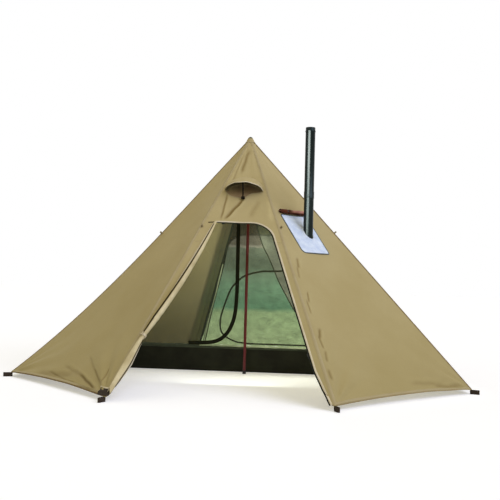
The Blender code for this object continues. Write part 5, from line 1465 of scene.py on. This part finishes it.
rim = jack_row(0.0)
rings = along_cloth(JACK_GORE, rim, JACK_TAPE_SECTION, JACK_LIFT - 0.0006, creased=False)
add_skin("jack_binding", rings, run_map(rim, JACK_TAPE_SECTION), navy_tape, "jack_cloth", ends=False)
rows = [jack_at(*jack_row(inset).T, 0.0002) for inset in JACK_ROWS]
rows.append(jack_at(*np.concatenate((pipe_hole(0.014), pipe_hole(0.014)[:1])).T, 0.0003))
add_stitches("jack_stitches", [(row, out_of_gore(JACK_GORE)) for row in rows], "jack_cloth", pale_thread)
seat = cloth_at(JACK_GORE, np.array(PIPE_ACROSS), np.array(PIPE_UP), JACK_LIFT, creased=False)
pipe_x, pipe_y, seat_z = (float(c) for c in seat)
ripple = 1.0 + 0.012 * np.sin(13 * full_turn(SLEEVE_STEPS))
sleeve = [jack_at(*pipe_hole(grow * ripple, SLEEVE_STEPS).T, lift) for grow, lift in SLEEVE_SECTION]
add_skin("jack_sleeve", sleeve, ring_map(len(sleeve), SLEEVE_STEPS, 0.003, 0.0035), jack_cloth, "jack_cloth",
         ends=False)

# The rain flap is rolled up above the sheet and held by two ties.
FLAP_RADIUS = 0.013
FLAP_UP = JACK_UP + JACK_HEIGHT / 2 + 0.004 + FLAP_RADIUS
FLAP_LIFT = 0.0006 + FLAP_RADIUS * 1.1
FLAP_LEFT = JACK_ACROSS - JACK_WIDTH / 2
FLAP_TIES = (0.27, 0.76)
FLAP_COLUMNS = 72
FLAP_PER_TURN = 16
FLAP_ROUND = FLAP_PER_TURN * 5
TIE_SECTION = ((0.0117, -0.5), (0.0117, 0.5), (0.0107, 0.5), (0.0107, -0.5), (0.0117, -0.5))
TIE_WIDTH = 0.009
TIE_STEPS = 24
flap_cloth = woven_cloth("flap_cloth", (0.250, 0.105, 0.080), (0.640, 0.290, 0.210), thread=0.0010,
                         cloud=20.0, painted_shade=0.93)
grid, cuts, painted_flap_shade = [], [], []
for c in range(FLAP_COLUMNS + 1):
    share = c / FLAP_COLUMNS
    drawn_in = sum(0.22 * np.exp(-((share - tie) / 0.03) ** 2) for tie in FLAP_TIES)
    size = FLAP_RADIUS * (1.13 - 0.12 * cos(4 * pi * share)) * (1.0 - drawn_in)
    for k in range(FLAP_ROUND + 1):
        turn = 2 * pi * k / FLAP_PER_TURN
        angle = turn - 1.2
        out = 0.15 + 0.85 * k / FLAP_ROUND
        out *= 1.0 + 0.05 * sin(4 * angle + 7 * share) + 0.03 * sin(9 * angle - 15 * share)
        grid.append((FLAP_LEFT + JACK_WIDTH * share + 0.003 * out * sin(2 * angle),
                     FLAP_UP + size * out * cos(angle), FLAP_LIFT + size * out * sin(angle)))
        cuts.append((k / FLAP_ROUND * 0.26, share * JACK_WIDTH))
        # Its underside and its left end are darkened as painted shade, beside a paler inner turn, and the
        # upper turns of its right part keep their salmon colour as a painted highlight.
        pale_end = 0.8 * (c < 3) * (k < FLAP_ROUND / 2)
        painted_flap_highlight = float(eased((share - 0.30) / 0.20)) * float(eased((cos(turn - 2.1) + 0.25) / 0.5))
        painted_flap_shade.append(1.0 - painted_flap_highlight - pale_end)
points, faces = skinned(np.array(grid).reshape(FLAP_COLUMNS + 1, FLAP_ROUND + 1, 3), loop=False)
rolled = fill_mesh("rolled_flap", cloth_at(JACK_GORE, *points.T, creased=False), faces, cuts)
store_values(rolled, "painted_shade", painted_flap_shade)
flap = add_piece("rolled_flap", rolled, flap_cloth, "jack_flap_cloth", stands_for=("jack_flap_roll",))
ties = []
turn = full_turn(TIE_STEPS)
for share in FLAP_TIES:
    rings = []
    for radius, shift in TIE_SECTION:
        across = np.full(TIE_STEPS, FLAP_LEFT + JACK_WIDTH * share + TIE_WIDTH * shift)
        rings.append(cloth_at(JACK_GORE, across, FLAP_UP + radius * np.cos(turn),
                              FLAP_LIFT + radius * np.sin(turn), creased=False))
    ties.append(skinned(rings, ends=False))
tie_map = ring_map(len(TIE_SECTION), TIE_STEPS, 0.004, 0.003)
add_skins("flap_ties", ties, [tie_map] * len(ties), navy_tape, "jack_flap_cloth")

# Stove pipe
# Two lengths of thin rolled steel pipe, blued by heat, each with a lapped seam down its back. The upper
# one's socket slips over the lower one, and a rolled bead runs round it below its top.
PIPE_JOINT = seat_z + 0.240
PIPE_TOP = seat_z + 0.678
PIPE_BOTTOM = seat_z - 0.125
PIPE_BORE = PIPE_RADIUS - 0.0012
SOCKET = PIPE_RADIUS + 0.0015
SHOULDER = PIPE_JOINT + 0.040
LAP_HEADING = radians(70)
LAP_SECTION = ((-0.10, 0.0001), (-0.085, 0.0008), (0.085, 0.0008), (0.10, 0.0001))
STRIP_ASIDE = 0.36
STRIP_AHEAD = 0.84


def bead(radius, height, rise=0.0022, half=0.0065, steps=6):
    """A rolled bead's profile round a pipe."""
    return [(radius + rise * sin(pi * i / steps) ** 0.7, height - half + 2 * half * i / steps)
            for i in range(steps + 1)]


def turned_piece(name, profile, finish, slot, stands_for, body="tent", centre=(0.0, 0.0)):
    """A piece turned from a closed profile about an upright axis."""
    rings = lathed(profile + profile[:1], centre=centre)
    return add_skin(name, rings, None, finish, slot, ends=False, body=body, stands_for=stands_for)


def blued_steel(name):
    """Thin steel, dark from heat, with long drawn streaks and a cloudy gloss."""
    finish, tree, shader = new_finish(name)
    place = wired(tree, "ShaderNodeTexCoord").outputs["Object"]
    drawn = wired(tree, "ShaderNodeMapping", {"Vector": place, "Scale": (60.0, 60.0, 2.2)}).outputs[0]
    streaks = noise(tree, drawn, 1.0, Detail=2.0)
    heat = ranged(tree, streaks, 0.0, 1.0, 0.30, 0.72)
    tint = mixed_colour(tree, heat, (0.004, 0.009, 0.008, 1.0), (0.015, 0.022, 0.020, 1.0))
    feed(tree, shader, {"Base Color": tint, "Roughness": ranged(tree, streaks, 0.25, 0.30), "Metallic": 0.70,
                        "Coat Weight": 0.05, "Coat Roughness": 0.20, "Specular IOR Level": 0.10})
    return finish


# A narrow lamp close to the pipe gives its steel the long highlight. It lights nothing else.
strip = hang_lamp("strip_lamp", "AREA", 95.0, (1.0, 0.86, 0.87), (STRIP_ASIDE, STRIP_AHEAD, 0.0),
                  (pipe_x - STRIP_ASIDE, pipe_y - STRIP_AHEAD, seat_z + 0.40))
strip.data.shape = "RECTANGLE"
strip.data.size, strip.data.size_y = 0.80, 1.10
strip.visible_camera = strip.visible_diffuse = False
lit_by_strip = bpy.data.collections.new("lit_by_strip")
strip.light_linking.receiver_collection = lit_by_strip

pipe_steel = blued_steel("blued_steel")
lower = [(PIPE_RADIUS, PIPE_BOTTOM + 0.001), (PIPE_RADIUS, SHOULDER - 0.001), (PIPE_BORE, SHOULDER - 0.001),
         (PIPE_BORE, PIPE_BOTTOM), (PIPE_RADIUS - 0.0004, PIPE_BOTTOM)]
upper = ([(PIPE_RADIUS + 0.0003, PIPE_JOINT), (SOCKET + 0.0006, PIPE_JOINT + 0.0006),
          (SOCKET + 0.0006, PIPE_JOINT + 0.003), (SOCKET, PIPE_JOINT + 0.004), (SOCKET, SHOULDER - 0.001),
          (SOCKET - 0.0006, SHOULDER + 0.001), (PIPE_RADIUS, SHOULDER + 0.004)]
         + bead(PIPE_RADIUS, PIPE_TOP - 0.023)
         + [(PIPE_RADIUS, PIPE_TOP - 0.001), (PIPE_RADIUS - 0.0005, PIPE_TOP), (PIPE_BORE, PIPE_TOP - 0.0005),
            (PIPE_BORE, SHOULDER), (PIPE_RADIUS + 0.0003, SHOULDER)])
for name, profile in (("lower", lower), ("upper", upper)):
    length = turned_piece(f"pipe_{name}_length", profile, pipe_steel, "pipe_steel", (f"stove_pipe_{name}",),
                          f"stove_pipe_{name}", (pipe_x, pipe_y))
    lit_by_strip.objects.link(length)
for body, low, high in (("stove_pipe_lower", PIPE_BOTTOM + 0.004, PIPE_JOINT - 0.004),
                        ("stove_pipe_upper", SHOULDER + 0.008, PIPE_TOP - 0.034)):
    lap = [[(pipe_x + (PIPE_RADIUS + rise) * cos(LAP_HEADING + turn_by),
             pipe_y + (PIPE_RADIUS + rise) * sin(LAP_HEADING + turn_by), z) for turn_by, rise in LAP_SECTION]
           for z in np.linspace(low, high, 30)]
    add_skin(f"{body}_lap", lap, None, pipe_steel, "pipe_steel", body=body)

# Pole
# Four lengths of red anodised tube. The spigot at the foot of each slides into the one below it, and
# the stack stands on a black plastic foot and ends in a plastic tip under the peak cap.
POLE_RADIUS = 0.0095
POLE_TOP = TENT_HEIGHT - 0.0085
POLE_BORE = POLE_RADIUS - 0.0012
SPIGOT = POLE_BORE - 0.0003
FOOT_HEIGHT = 0.024
TIP_HEIGHT = 0.014
TIP_ROUND = 0.0047
JOINT_GAP = 0.0003
CORE = 0.0005
section_length = (POLE_TOP - TIP_HEIGHT - FOOT_HEIGHT) / 4
red_tube = moulded("red_tube", (0.100, 0.010, 0.012), 0.42, 0.35, 90.0, 0.00002)
foot_plastic = moulded("foot_plastic", (0.012, 0.012, 0.012), 0.55)
for k in range(4):
    low = FOOT_HEIGHT + section_length * k + JOINT_GAP
    high = FOOT_HEIGHT + section_length * (k + 1)
    profile = [(POLE_RADIUS - 0.0004, low), (POLE_RADIUS, low + 0.0006), (POLE_RADIUS, high - 0.0006),
               (POLE_RADIUS - 0.0004, high), (POLE_BORE, high)]
    if k:
        profile += [(POLE_BORE, low + 0.004), (SPIGOT - 0.0012, low), (SPIGOT - 0.0012, low - 0.055),
                    (SPIGOT, low - 0.054), (SPIGOT, low)]
    else:
        profile += [(POLE_BORE, low)]
    turned_piece(f"pole_length_{k + 1}", profile, red_tube, "pole_tube", (f"pole_section_{k + 1}",))
foot = [(CORE, 0.0), (0.0095, 0.0), (0.0118, 0.0010), (0.0125, 0.0030), (0.0118, 0.0090), (0.0102, 0.0180),
        (0.0096, FOOT_HEIGHT - 0.0004), (0.0090, FOOT_HEIGHT), (SPIGOT, FOOT_HEIGHT),
        (SPIGOT, FOOT_HEIGHT + 0.028), (CORE, FOOT_HEIGHT + 0.030)]
turned_piece("pole_foot_plug", foot, foot_plastic, "pole_plastic", ("pole_foot",))
tip_low = POLE_TOP - TIP_HEIGHT + JOINT_GAP
tip = ([(CORE, tip_low - 0.029), (SPIGOT, tip_low - 0.028), (SPIGOT, tip_low),
        (POLE_RADIUS, tip_low + 0.0004), (POLE_RADIUS, POLE_TOP - 0.0075)]
       + [(0.0048 + TIP_ROUND * cos(a), POLE_TOP - TIP_ROUND + TIP_ROUND * sin(a))
          for a in np.linspace(0, pi / 2, 7)]
       + [(CORE, POLE_TOP)])
turned_piece("pole_tip_plug", tip, foot_plastic, "pole_plastic", ("pole_tip",))

# Inner tent
# Half of the floor, behind the pole, carries a hanging inner tent: fine netting walls over a coated
# bathtub groundsheet, with a zipped door in its front wall and another in its back one.
INNER_RADIUS = CORNER_RADIUS - 0.14
INNER_APEX = np.array((0.0, 0.050, TENT_HEIGHT - 0.15))
INNER_TOP = INNER_APEX[2] - 0.055
INNER_FRONT = 0.10
TUB_TOPS = (0.170, 0.150, 0.095, 0.095, 0.150, 0.170)
inner_apothem, inner_half = INNER_RADIUS * cos(HALF_TURN), INNER_RADIUS * sin(HALF_TURN)
FLOOR = np.array([(inner_apothem, INNER_FRONT, 0.0), (inner_apothem, inner_half, 0.0),
                  (inner_half, inner_apothem, 0.0), (-inner_half, inner_apothem, 0.0),
                  (-inner_apothem, inner_half, 0.0), (-inner_apothem, INNER_FRONT, 0.0)])
WALL_NAMES = ("right", "back_right", "back", "back_left", "left", "front")
WALLS = len(WALL_NAMES)
BACK_WALL, FRONT_WALL = 2, 5


def wall_plane(wall):
    """A wall's outward normal, and its distance along it."""
    a, b = FLOOR[wall % WALLS], FLOOR[(wall + 1) % WALLS]
    normal = np.cross(b - a, INNER_APEX - a)
    normal /= np.linalg.norm(normal)
    return normal, normal @ a


def inner_corner(corner, z, inset=0.0):
    """Where two neighbouring walls, both set in by a distance, meet at heights z."""
    (n1, c1), (n2, c2) = wall_plane(corner - 1), wall_plane(corner)
    z = np.asarray(z, float)
    d1, d2 = c1 - inset - n1[2] * z, c2 - inset - n2[2] * z
    det = n1[0] * n2[1] - n1[1] * n2[0]
    return np.stack(((d1 * n2[1] - d2 * n1[1]) / det, (n1[0] * d2 - n2[0] * d1) / det, z + 0.0 * d1), -1)


def net_slack(wall, share, z):
    """How far the netting sags inwards between its seams."""
    low = TUB_TOPS[wall] * (1.0 - share) + TUB_TOPS[(wall + 1) % WALLS] * share
    rise = np.clip((z - low) / (INNER_TOP - low), 0.0, 1.0)
    belly = 0.0 if wall in (BACK_WALL, FRONT_WALL) else 0.010
    hang = np.sin(pi * share) * np.sin(pi * rise)
    ruck = 0.0014 * np.sin(17.0 * share + 5.0 * rise + wall) + 0.0011 * np.sin(41.0 * share - 9.0 * rise)
    ruck = ruck * np.sin(pi * share) * eased(rise / 0.06) * eased((1.0 - rise) / 0.1)
    return belly * hang + ruck + 0.0016 * hang


def wall_at(wall, x, z, out=0.0):
    """A point of the front or back wall at an X and a height, held out from its netting."""
    normal, distance = wall_plane(wall)
    x, z = np.asarray(x, float), np.asarray(z, float)
    left, right = inner_corner(wall, z)[..., 0], inner_corner(wall + 1, z)[..., 0]
    y = (distance - normal[2] * z - normal[0] * x) / normal[1]
    held = np.asarray(out - net_slack(wall, (x - left) / (right - left), z))
    return np.stack((x, y, z), -1) + normal * held[..., None]


dark_netting = netting("dark_netting", (0.062, 0.068, 0.052), clear=0.23)

# The back wall's netting is coated in bands of green, paler near the ground, which tint the daylight that
# comes through the doorway behind it. Beside its seam a strip of it has a plain darker colour, painted shade.
PANEL_SEAM = np.array([(0.449, 0.20), (0.380, 0.30), (0.301, 0.409), (0.232, 0.535), (0.182, 0.633),
                       (0.148, 0.717), (0.108, 0.814), (0.068, 0.894), (0.037, 1.001), (0.018, 1.10),
                       (0.010, 1.20)])
# Each band's height in metres and its colour.
GREEN_BANDS = ((0.12, (0.44, 0.57, 0.28)), (0.40, (0.34, 0.47, 0.23)), (0.44, (0.13, 0.27, 0.15)),
               (0.62, (0.18, 0.31, 0.18)), (0.70, (0.19, 0.28, 0.17)), (0.76, (0.13, 0.17, 0.105)),
               (0.900, (0.14, 0.165, 0.110)), (0.906, (0.28, 0.27, 0.20)), (0.922, (0.135, 0.125, 0.088)))
SHADED_STRIP_COLOUR = (0.20, 0.215, 0.145, 1.0)


def banded_netting(name):
    """Coated netting in bands up its height, mostly a tinted film that daylight comes through."""
    finish, tree, shader = new_finish(name)
    place = wired(tree, "ShaderNodeTexCoord").outputs["Object"]
    height = wired(tree, "ShaderNodeSeparateXYZ", {0: place}).outputs["Z"]
    wander = noise(tree, place, 9.0, Detail=3.0)
    level = wired(tree, "ShaderNodeMath", {0: wander, 1: 0.05, 2: height}, operation="MULTIPLY_ADD")
    bands = wired(tree, "ShaderNodeValToRGB", {"Fac": level.outputs[0]})
    stops = bands.color_ramp.elements
    for k, (at, colour) in enumerate(GREEN_BANDS):
        stop = stops[k] if k < 2 else stops.new(at)
        stop.position = at
        stop.color = (*colour, 1.0)
    # Beside the seam the netting takes the plain darker colour, painted shade.
    panel = wired(tree, "ShaderNodeAttribute", attribute_name="panel").outputs["Fac"]
    coat = mixed_colour(tree, panel, SHADED_STRIP_COLOUR, bands.outputs["Color"])
    patchy = ranged(tree, noise(tree, place, 16.0, Detail=5.0, Roughness=0.6), 0.80, 1.22, 0.32, 0.68)
    tint = wired(tree, "ShaderNodeVectorMath", {0: coat, "Scale": patchy}, operation="SCALE").outputs[0]
    dark = wired(tree, "ShaderNodeVectorMath", {0: tint, "Scale": 0.5}, operation="SCALE").outputs[0]
    through = wired(tree, "ShaderNodeBsdfTransparent", {"Color": tint}).outputs[0]
    feed(tree, shader, {"Base Color": dark, "Roughness": 0.8, "Specular IOR Level": 0.1})
    both = wired(tree, "ShaderNodeMixShader", {0: 0.30, 1: through, 2: shader.outputs[0]}).outputs[0]
    feed(tree, tree.nodes["Material Output"], {"Surface": both})
    return finish


green_netting = banded_netting("green_netting")
tub_cloth = woven_cloth("tub_cloth", (0.011, 0.011, 0.006), (0.020, 0.021, 0.012), rough=0.42, cloud=7.0,
                        sheen=0.04, gloss=0.08)
lime_tape = woven_cloth("lime_tape", (0.050, 0.058, 0.036), (0.030, 0.036, 0.022), cloud=9.0)
for wall, side in enumerate(WALL_NAMES):
    columns, rows = (110, 150) if wall == BACK_WALL else (40, 60)
    normal, _ = wall_plane(wall)
    foot_a, foot_b = TUB_TOPS[wall] + 0.001, TUB_TOPS[(wall + 1) % WALLS] + 0.001
    a = inner_corner(wall, np.linspace(foot_a, INNER_TOP, rows + 1))
    b = inner_corner(wall + 1, np.linspace(foot_b, INNER_TOP, rows + 1))
    shares = np.linspace(0.0, 1.0, columns + 1)
    grid = a[:, None] * (1.0 - shares[None, :, None]) + b[:, None] * shares[None, :, None]
    grid -= normal * (net_slack(wall, shares[None, :], grid[..., 2]) + 0.0004)[..., None]
    width = np.linalg.norm(b - a, axis=1)
    cut = np.stack(((shares[None, :] - 0.5) * width[:, None], grid[..., 2] / 0.75), -1)
    points, faces = skinned(grid, loop=False)
    mesh = fill_mesh(f"inner_netting_{side}", points, faces, cut.reshape(-1, 2))
    finish, slot = dark_netting, "netting"
    if wall == BACK_WALL:
        finish, slot = green_netting, "green_netting"
        past_seam = np.interp(points[:, 2], PANEL_SEAM[:, 1], PANEL_SEAM[:, 0]) - points[:, 0]
        store_values(mesh, "panel", eased(past_seam / 0.012 + 0.5))
    face_along(mesh, normal)
    net = add_piece(f"inner_netting_{side}", mesh, finish, slot, stands_for=(f"inner_{side}_wall",))

# The groundsheet: one sheet, folded up all round, with its top edge bound.
TUB_PER_SIDE = 26
TUB_MIDDLE = np.array((0.0, 0.55, 0.0))
TUB_EDGE = 0.997
TUB_EDGE_RUCK = 0.0016
TUB_INSET = 0.0008
# Rings up the tub's side: the share of its height and the depth of the rucks there.
TUB_RUCKS = ((0.12, 0.001), (0.26, 0.0030), (0.41, 0.0012), (0.56, 0.0036), (0.70, 0.0016), (0.85, 0.0030),
             (0.94, 0.0016), (TUB_EDGE, TUB_EDGE_RUCK))
TUB_BINDING_SECTION = ((-0.0014, -0.012), (0.0016, -0.012), (0.0020, -0.006), (0.0016, 0.0006), (0.0, 0.0014),
                       (-0.0016, 0.0006), (-0.0018, -0.006))


def tub_ring(z, inset, wave=0.0, share_up=None):
    """Points round the tub at a height, or at a share of each corner's height."""
    heights = [z if share_up is None else TUB_TOPS[i] * share_up for i in range(WALLS)]
    corners_here = [inner_corner(i, heights[i], inset) for i in range(WALLS)]
    ring = []
    for i in range(WALLS):
        normal, _ = wall_plane(i)
        level = np.array((normal[0], normal[1], 0.0))
        for k in range(TUB_PER_SIDE):
            share = k / TUB_PER_SIDE
            point = corners_here[i] + (corners_here[(i + 1) % WALLS] - corners_here[i]) * share
            ruck = abs(wave * (sin(29.0 * share + 2.0 * i) + 0.6 * sin(53.0 * share + i)) * sin(pi * share))
            drop = 1.2 * ruck if (share_up or 0.0) > 0.9 else 0.0
            ring.append(point - level * ruck - np.array((0.0, 0.0, drop)))
    return np.array(ring)


tub_rings = []
for share in (0.03, 0.2, 0.4, 0.6, 0.8, 0.95):
    ring = TUB_MIDDLE + (tub_ring(0.0012, 0.003) - TUB_MIDDLE) * share
    ripple = 0.0008 * np.sin(ring[:, 0] * 21.0 + 1.0) * np.sin(ring[:, 1] * 17.0)
    ring[:, 2] = 0.0016 + np.abs(ripple)
    tub_rings.append(ring)
tub_rings += [tub_ring(0.0012, 0.0040), tub_ring(0.004, 0.0012)]
tub_rings += [tub_ring(0.0, TUB_INSET, wave, share_up) for share_up, wave in TUB_RUCKS]
points, faces = skinned(tub_rings, ends=False)
faces = [f[::-1] for f in faces] + [tuple(range(WALLS * TUB_PER_SIDE))]
tub_mesh = fill_mesh("groundsheet", points, faces, points[:, :2] + points[:, 2:])
tub = add_piece("groundsheet", tub_mesh, tub_cloth, "groundsheet", stands_for=("inner_tub",))
thicken(tub, 0.0008, 0.0)
edge_parts, edge_maps = [], []
edge = tub_ring(0.0, TUB_INSET, TUB_EDGE_RUCK, TUB_EDGE)
for i in range(WALLS):
    corner = inner_corner((i + 1) % WALLS, TUB_TOPS[(i + 1) % WALLS] * TUB_EDGE, TUB_INSET)
    run = np.concatenate((edge[i * TUB_PER_SIDE:(i + 1) * TUB_PER_SIDE], [corner]))
    normal, _ = wall_plane(i)
    rings = np.stack([run + normal * out + np.array((0.0, 0.0, up)) for out, up in TUB_BINDING_SECTION], 1)
    edge_parts.append(skinned(rings))
    edge_maps.append(np.array([(k * 0.04, r * 0.004) for k in range(len(run))
                               for r in range(len(TUB_BINDING_SECTION))]))
pale_tape = woven_cloth("pale_tape", (0.400, 0.440, 0.270), (0.300, 0.340, 0.200), cloud=9.0)
add_skins("back_edge_binding", [edge_parts.pop(BACK_WALL)], [edge_maps.pop(BACK_WALL)], pale_tape,
          "groundsheet")
add_skins("groundsheet_binding", edge_parts, edge_maps, lime_tape, "groundsheet")

# Seam tapes up the corners between the netting walls, and the cloth cap with its hanging strap.
SEAM_TAPE_HALF = 0.008
seam_parts, seam_maps = [], []
for corner in range(WALLS):
    zs = np.linspace(TUB_TOPS[corner], INNER_TOP, 40)
    spine = inner_corner(corner, zs)
    a, _ = wall_plane(corner - 1)
    b, _ = wall_plane(corner)
    upward = (spine[-1] - spine[0]) / np.linalg.norm(spine[-1] - spine[0])
    to_a, to_b = np.cross(upward, a), -np.cross(upward, b)
    if to_a @ (INNER_APEX - FLOOR[corner] + (FLOOR[corner - 1] - FLOOR[corner]) * 2) < 0:
        to_a, to_b = -to_a, -to_b
    to_a, to_b = to_a * SEAM_TAPE_HALF, to_b * SEAM_TAPE_HALF
    rings = np.stack([spine + to_a - a * 0.0014, spine - (a + b) * 0.0009, spine + to_b - b * 0.0014,
                      spine + to_b - b * 0.0022, spine - (a + b) * 0.0016, spine + to_a - a * 0.0022], 1)
    seam_parts.append(skinned(rings))
    seam_maps.append(np.array([(r * 0.005, z) for z in zs for r in range(6)]))
inner_tape = woven_cloth("inner_tape", (0.014, 0.016, 0.009), (0.022, 0.024, 0.014), cloud=20.0, gloss=0.05)
add_skins("inner_seam_tapes", seam_parts, seam_maps, inner_tape, "netting")

# The cap's rings, by height above the walls' top and inset, the strap's spine and its section.
INNER_CAP_RINGS = ((0.0006, 0.0), (0.012, 0.0004), (0.022, 0.0020), (0.028, 0.0050), (0.030, 0.0110))
STRAP_LINE = np.array([(0.0, 0.050, INNER_TOP + 0.024), (0.0, 0.050, INNER_TOP + 0.052),
                       (0.0, 0.0492, INNER_TOP + 0.074), (0.0, 0.0440, INNER_TOP + 0.100),
                       (0.0, 0.0405, TENT_HEIGHT - 0.062),
                       (0.0, (APOTHEM * 0.045 - 0.0022 * SLOPE) / RISE - 0.0012, TENT_HEIGHT - 0.046)])
STRAP_SIZE = (0.014, 0.0014)
STRAP_SECTION = ((-0.5, -0.3), (-0.45, -0.5), (0.45, -0.5), (0.5, -0.3), (0.5, 0.3), (0.45, 0.5),
                 (-0.45, 0.5), (-0.5, 0.3))
inner_cap = []
for rise, inset in INNER_CAP_RINGS:
    meet = [inner_corner(i % WALLS, INNER_TOP + rise, inset) for i in range(WALLS + 1)]
    inner_cap.append([meet[i] + (meet[i + 1] - meet[i]) * k / 6 for i in range(WALLS) for k in range(6)])
strap = [[point + np.array((x * STRAP_SIZE[0], y * STRAP_SIZE[1], 0.0)) for x, y in STRAP_SECTION]
         for point in STRAP_LINE]
cap_skin = skinned(inner_cap)
add_skins("inner_hanger_strap", [cap_skin, skinned(strap)], [cap_skin[0][:, :2], ring_map(6, 8, 0.02, 0.002)],
          sand_webbing, "webbing", stands_for=("inner_hanger",))

# Zips of the inner doors: tape, teeth, and the sliders that the frame already has.
EDGE = TUB_TOPS[0] + 0.018
LOW_EDGE = TUB_TOPS[2] + 0.018
FRONT_X = -0.072
REAR_TOP = 0.712
FRONT_ZIP = [(FRONT_X, INNER_TOP - 0.095), (FRONT_X, EDGE + 0.59), (FRONT_X, EDGE + 0.372),
             (FRONT_X - 0.010, EDGE + 0.212), (FRONT_X - 0.040, EDGE + 0.112),
             (FRONT_X - 0.088, EDGE + 0.047), (FRONT_X - 0.148, EDGE + 0.015),
             (FRONT_X - 0.228, EDGE + 0.005), (FRONT_X - 0.328, EDGE + 0.002)]
REAR_ZIP = [(float(inner_corner(BACK_WALL, REAR_TOP)[0]) - 0.022, REAR_TOP), (0.152, 0.709), (0.048, 0.703),
            (-0.053, 0.679), (-0.117, 0.641), (-0.186, 0.570), (-0.238, 0.465), (-0.288, LOW_EDGE + 0.222),
            (-0.298, LOW_EDGE + 0.122), (-0.268, LOW_EDGE + 0.064), (-0.190, LOW_EDGE + 0.018),
            (-0.100, LOW_EDGE + 0.003), (-0.012, LOW_EDGE), (0.200, LOW_EDGE),
            (float(inner_corner(BACK_WALL, LOW_EDGE)[0]) - 0.033, LOW_EDGE)]
# A zip tape's section: shares of its width and of its rise.
INNER_ZIP_SECTION = [(-0.5, 0.0), (-0.48, 0.8), (-0.2, 1.0), (0.0, 1.5), (0.2, 1.0), (0.48, 0.8), (0.5, 0.0)]
INNER_ZIP_RISE = 0.0012


def smooth_line(points, steps):
    """A smooth curve through plane points."""
    points = np.array(points)
    padded = np.concatenate((points[:1], points, points[-1:]))
    made = []
    for i in range(len(points) - 1):
        a, b, c, d = padded[i:i + 4]
        for k in range(steps):
            t = k / steps
            made.append(0.5 * (2 * b + (c - a) * t + (2 * a - 5 * b + 4 * c - d) * t ** 2
                               + (3 * b - a - 3 * c + d) * t ** 3))
    return np.array(made + [points[-1]])


def add_wall_tape(name, wall, path, section, base, rise, finish, slot, **more):
    """A tape along a path on the front or back wall, at a distance from its netting."""
    rings = np.stack([wall_at(wall, *beside(path, d).T, base + rise * h) for d, h in section], 1)
    return add_skin(name, rings, run_map(path, section), finish, slot, **more)


# Each zip's wall, line, tape width, distance from the netting, way out and steps between its points.
for side, wall, line, width, base, way, steps in (
        ("front", FRONT_WALL, FRONT_ZIP, 0.026, 0.0003, 1.0, 12),
        ("rear", BACK_WALL, REAR_ZIP, 0.013, -0.0018, -1.0, 10)):
    path = smooth_line(line, steps)
    section = [(d * width, h) for d, h in INNER_ZIP_SECTION]
    add_wall_tape(f"inner_{side}_zip_tape", wall, path, section, base, way * INNER_ZIP_RISE, zip_tape, "zip",
                  stands_for=(f"inner_{side}_zip",))
    row = (wall_at(wall, *path.T, base + way * 0.0020), wall_plane(wall)[0] * way)
    add_row(f"inner_{side}_zip_teeth", [row], "zip", teeth,
            {"Plastic": zip_plastic, "Tooth length": width * 0.30, "Tooth height": 0.0016})
    refinish(f"inner_{side}_slider", slider_metal)

# The back wall's panel is joined to its darker strip of painted shade by one narrow taped seam. Its left side
# is taped too, beside its pale selvage.
PANEL_SIDE = np.array([(-0.200, 0.870), (-0.230, 0.759), (-0.260, 0.668), (-0.346, 0.413), (-0.434, 0.131),
                       (-0.443, 0.100)])
PANEL_SELVAGE = np.array([(-0.244, 0.752), (-0.284, 0.619), (-0.317, 0.511), (-0.386, 0.317),
                          (-0.451, 0.122)])
for name, line, half, finish in (("back_panel_seam", PANEL_SEAM, 0.0045, inner_tape),
                                 ("back_panel_tape", PANEL_SIDE, 0.0040, inner_tape),
                                 ("back_panel_selvage", PANEL_SELVAGE, 0.0050, pale_tape)):
    path = smooth_line(line[np.argsort(-line[:, 1])], 6)
    section = [(-half, 0.0), (-half * 0.9, 0.0008), (0.0, 0.0012), (half * 0.9, 0.0008), (half, 0.0)]
    add_wall_tape(name, BACK_WALL, path, section, -0.0012, -1.0, finish, "netting")
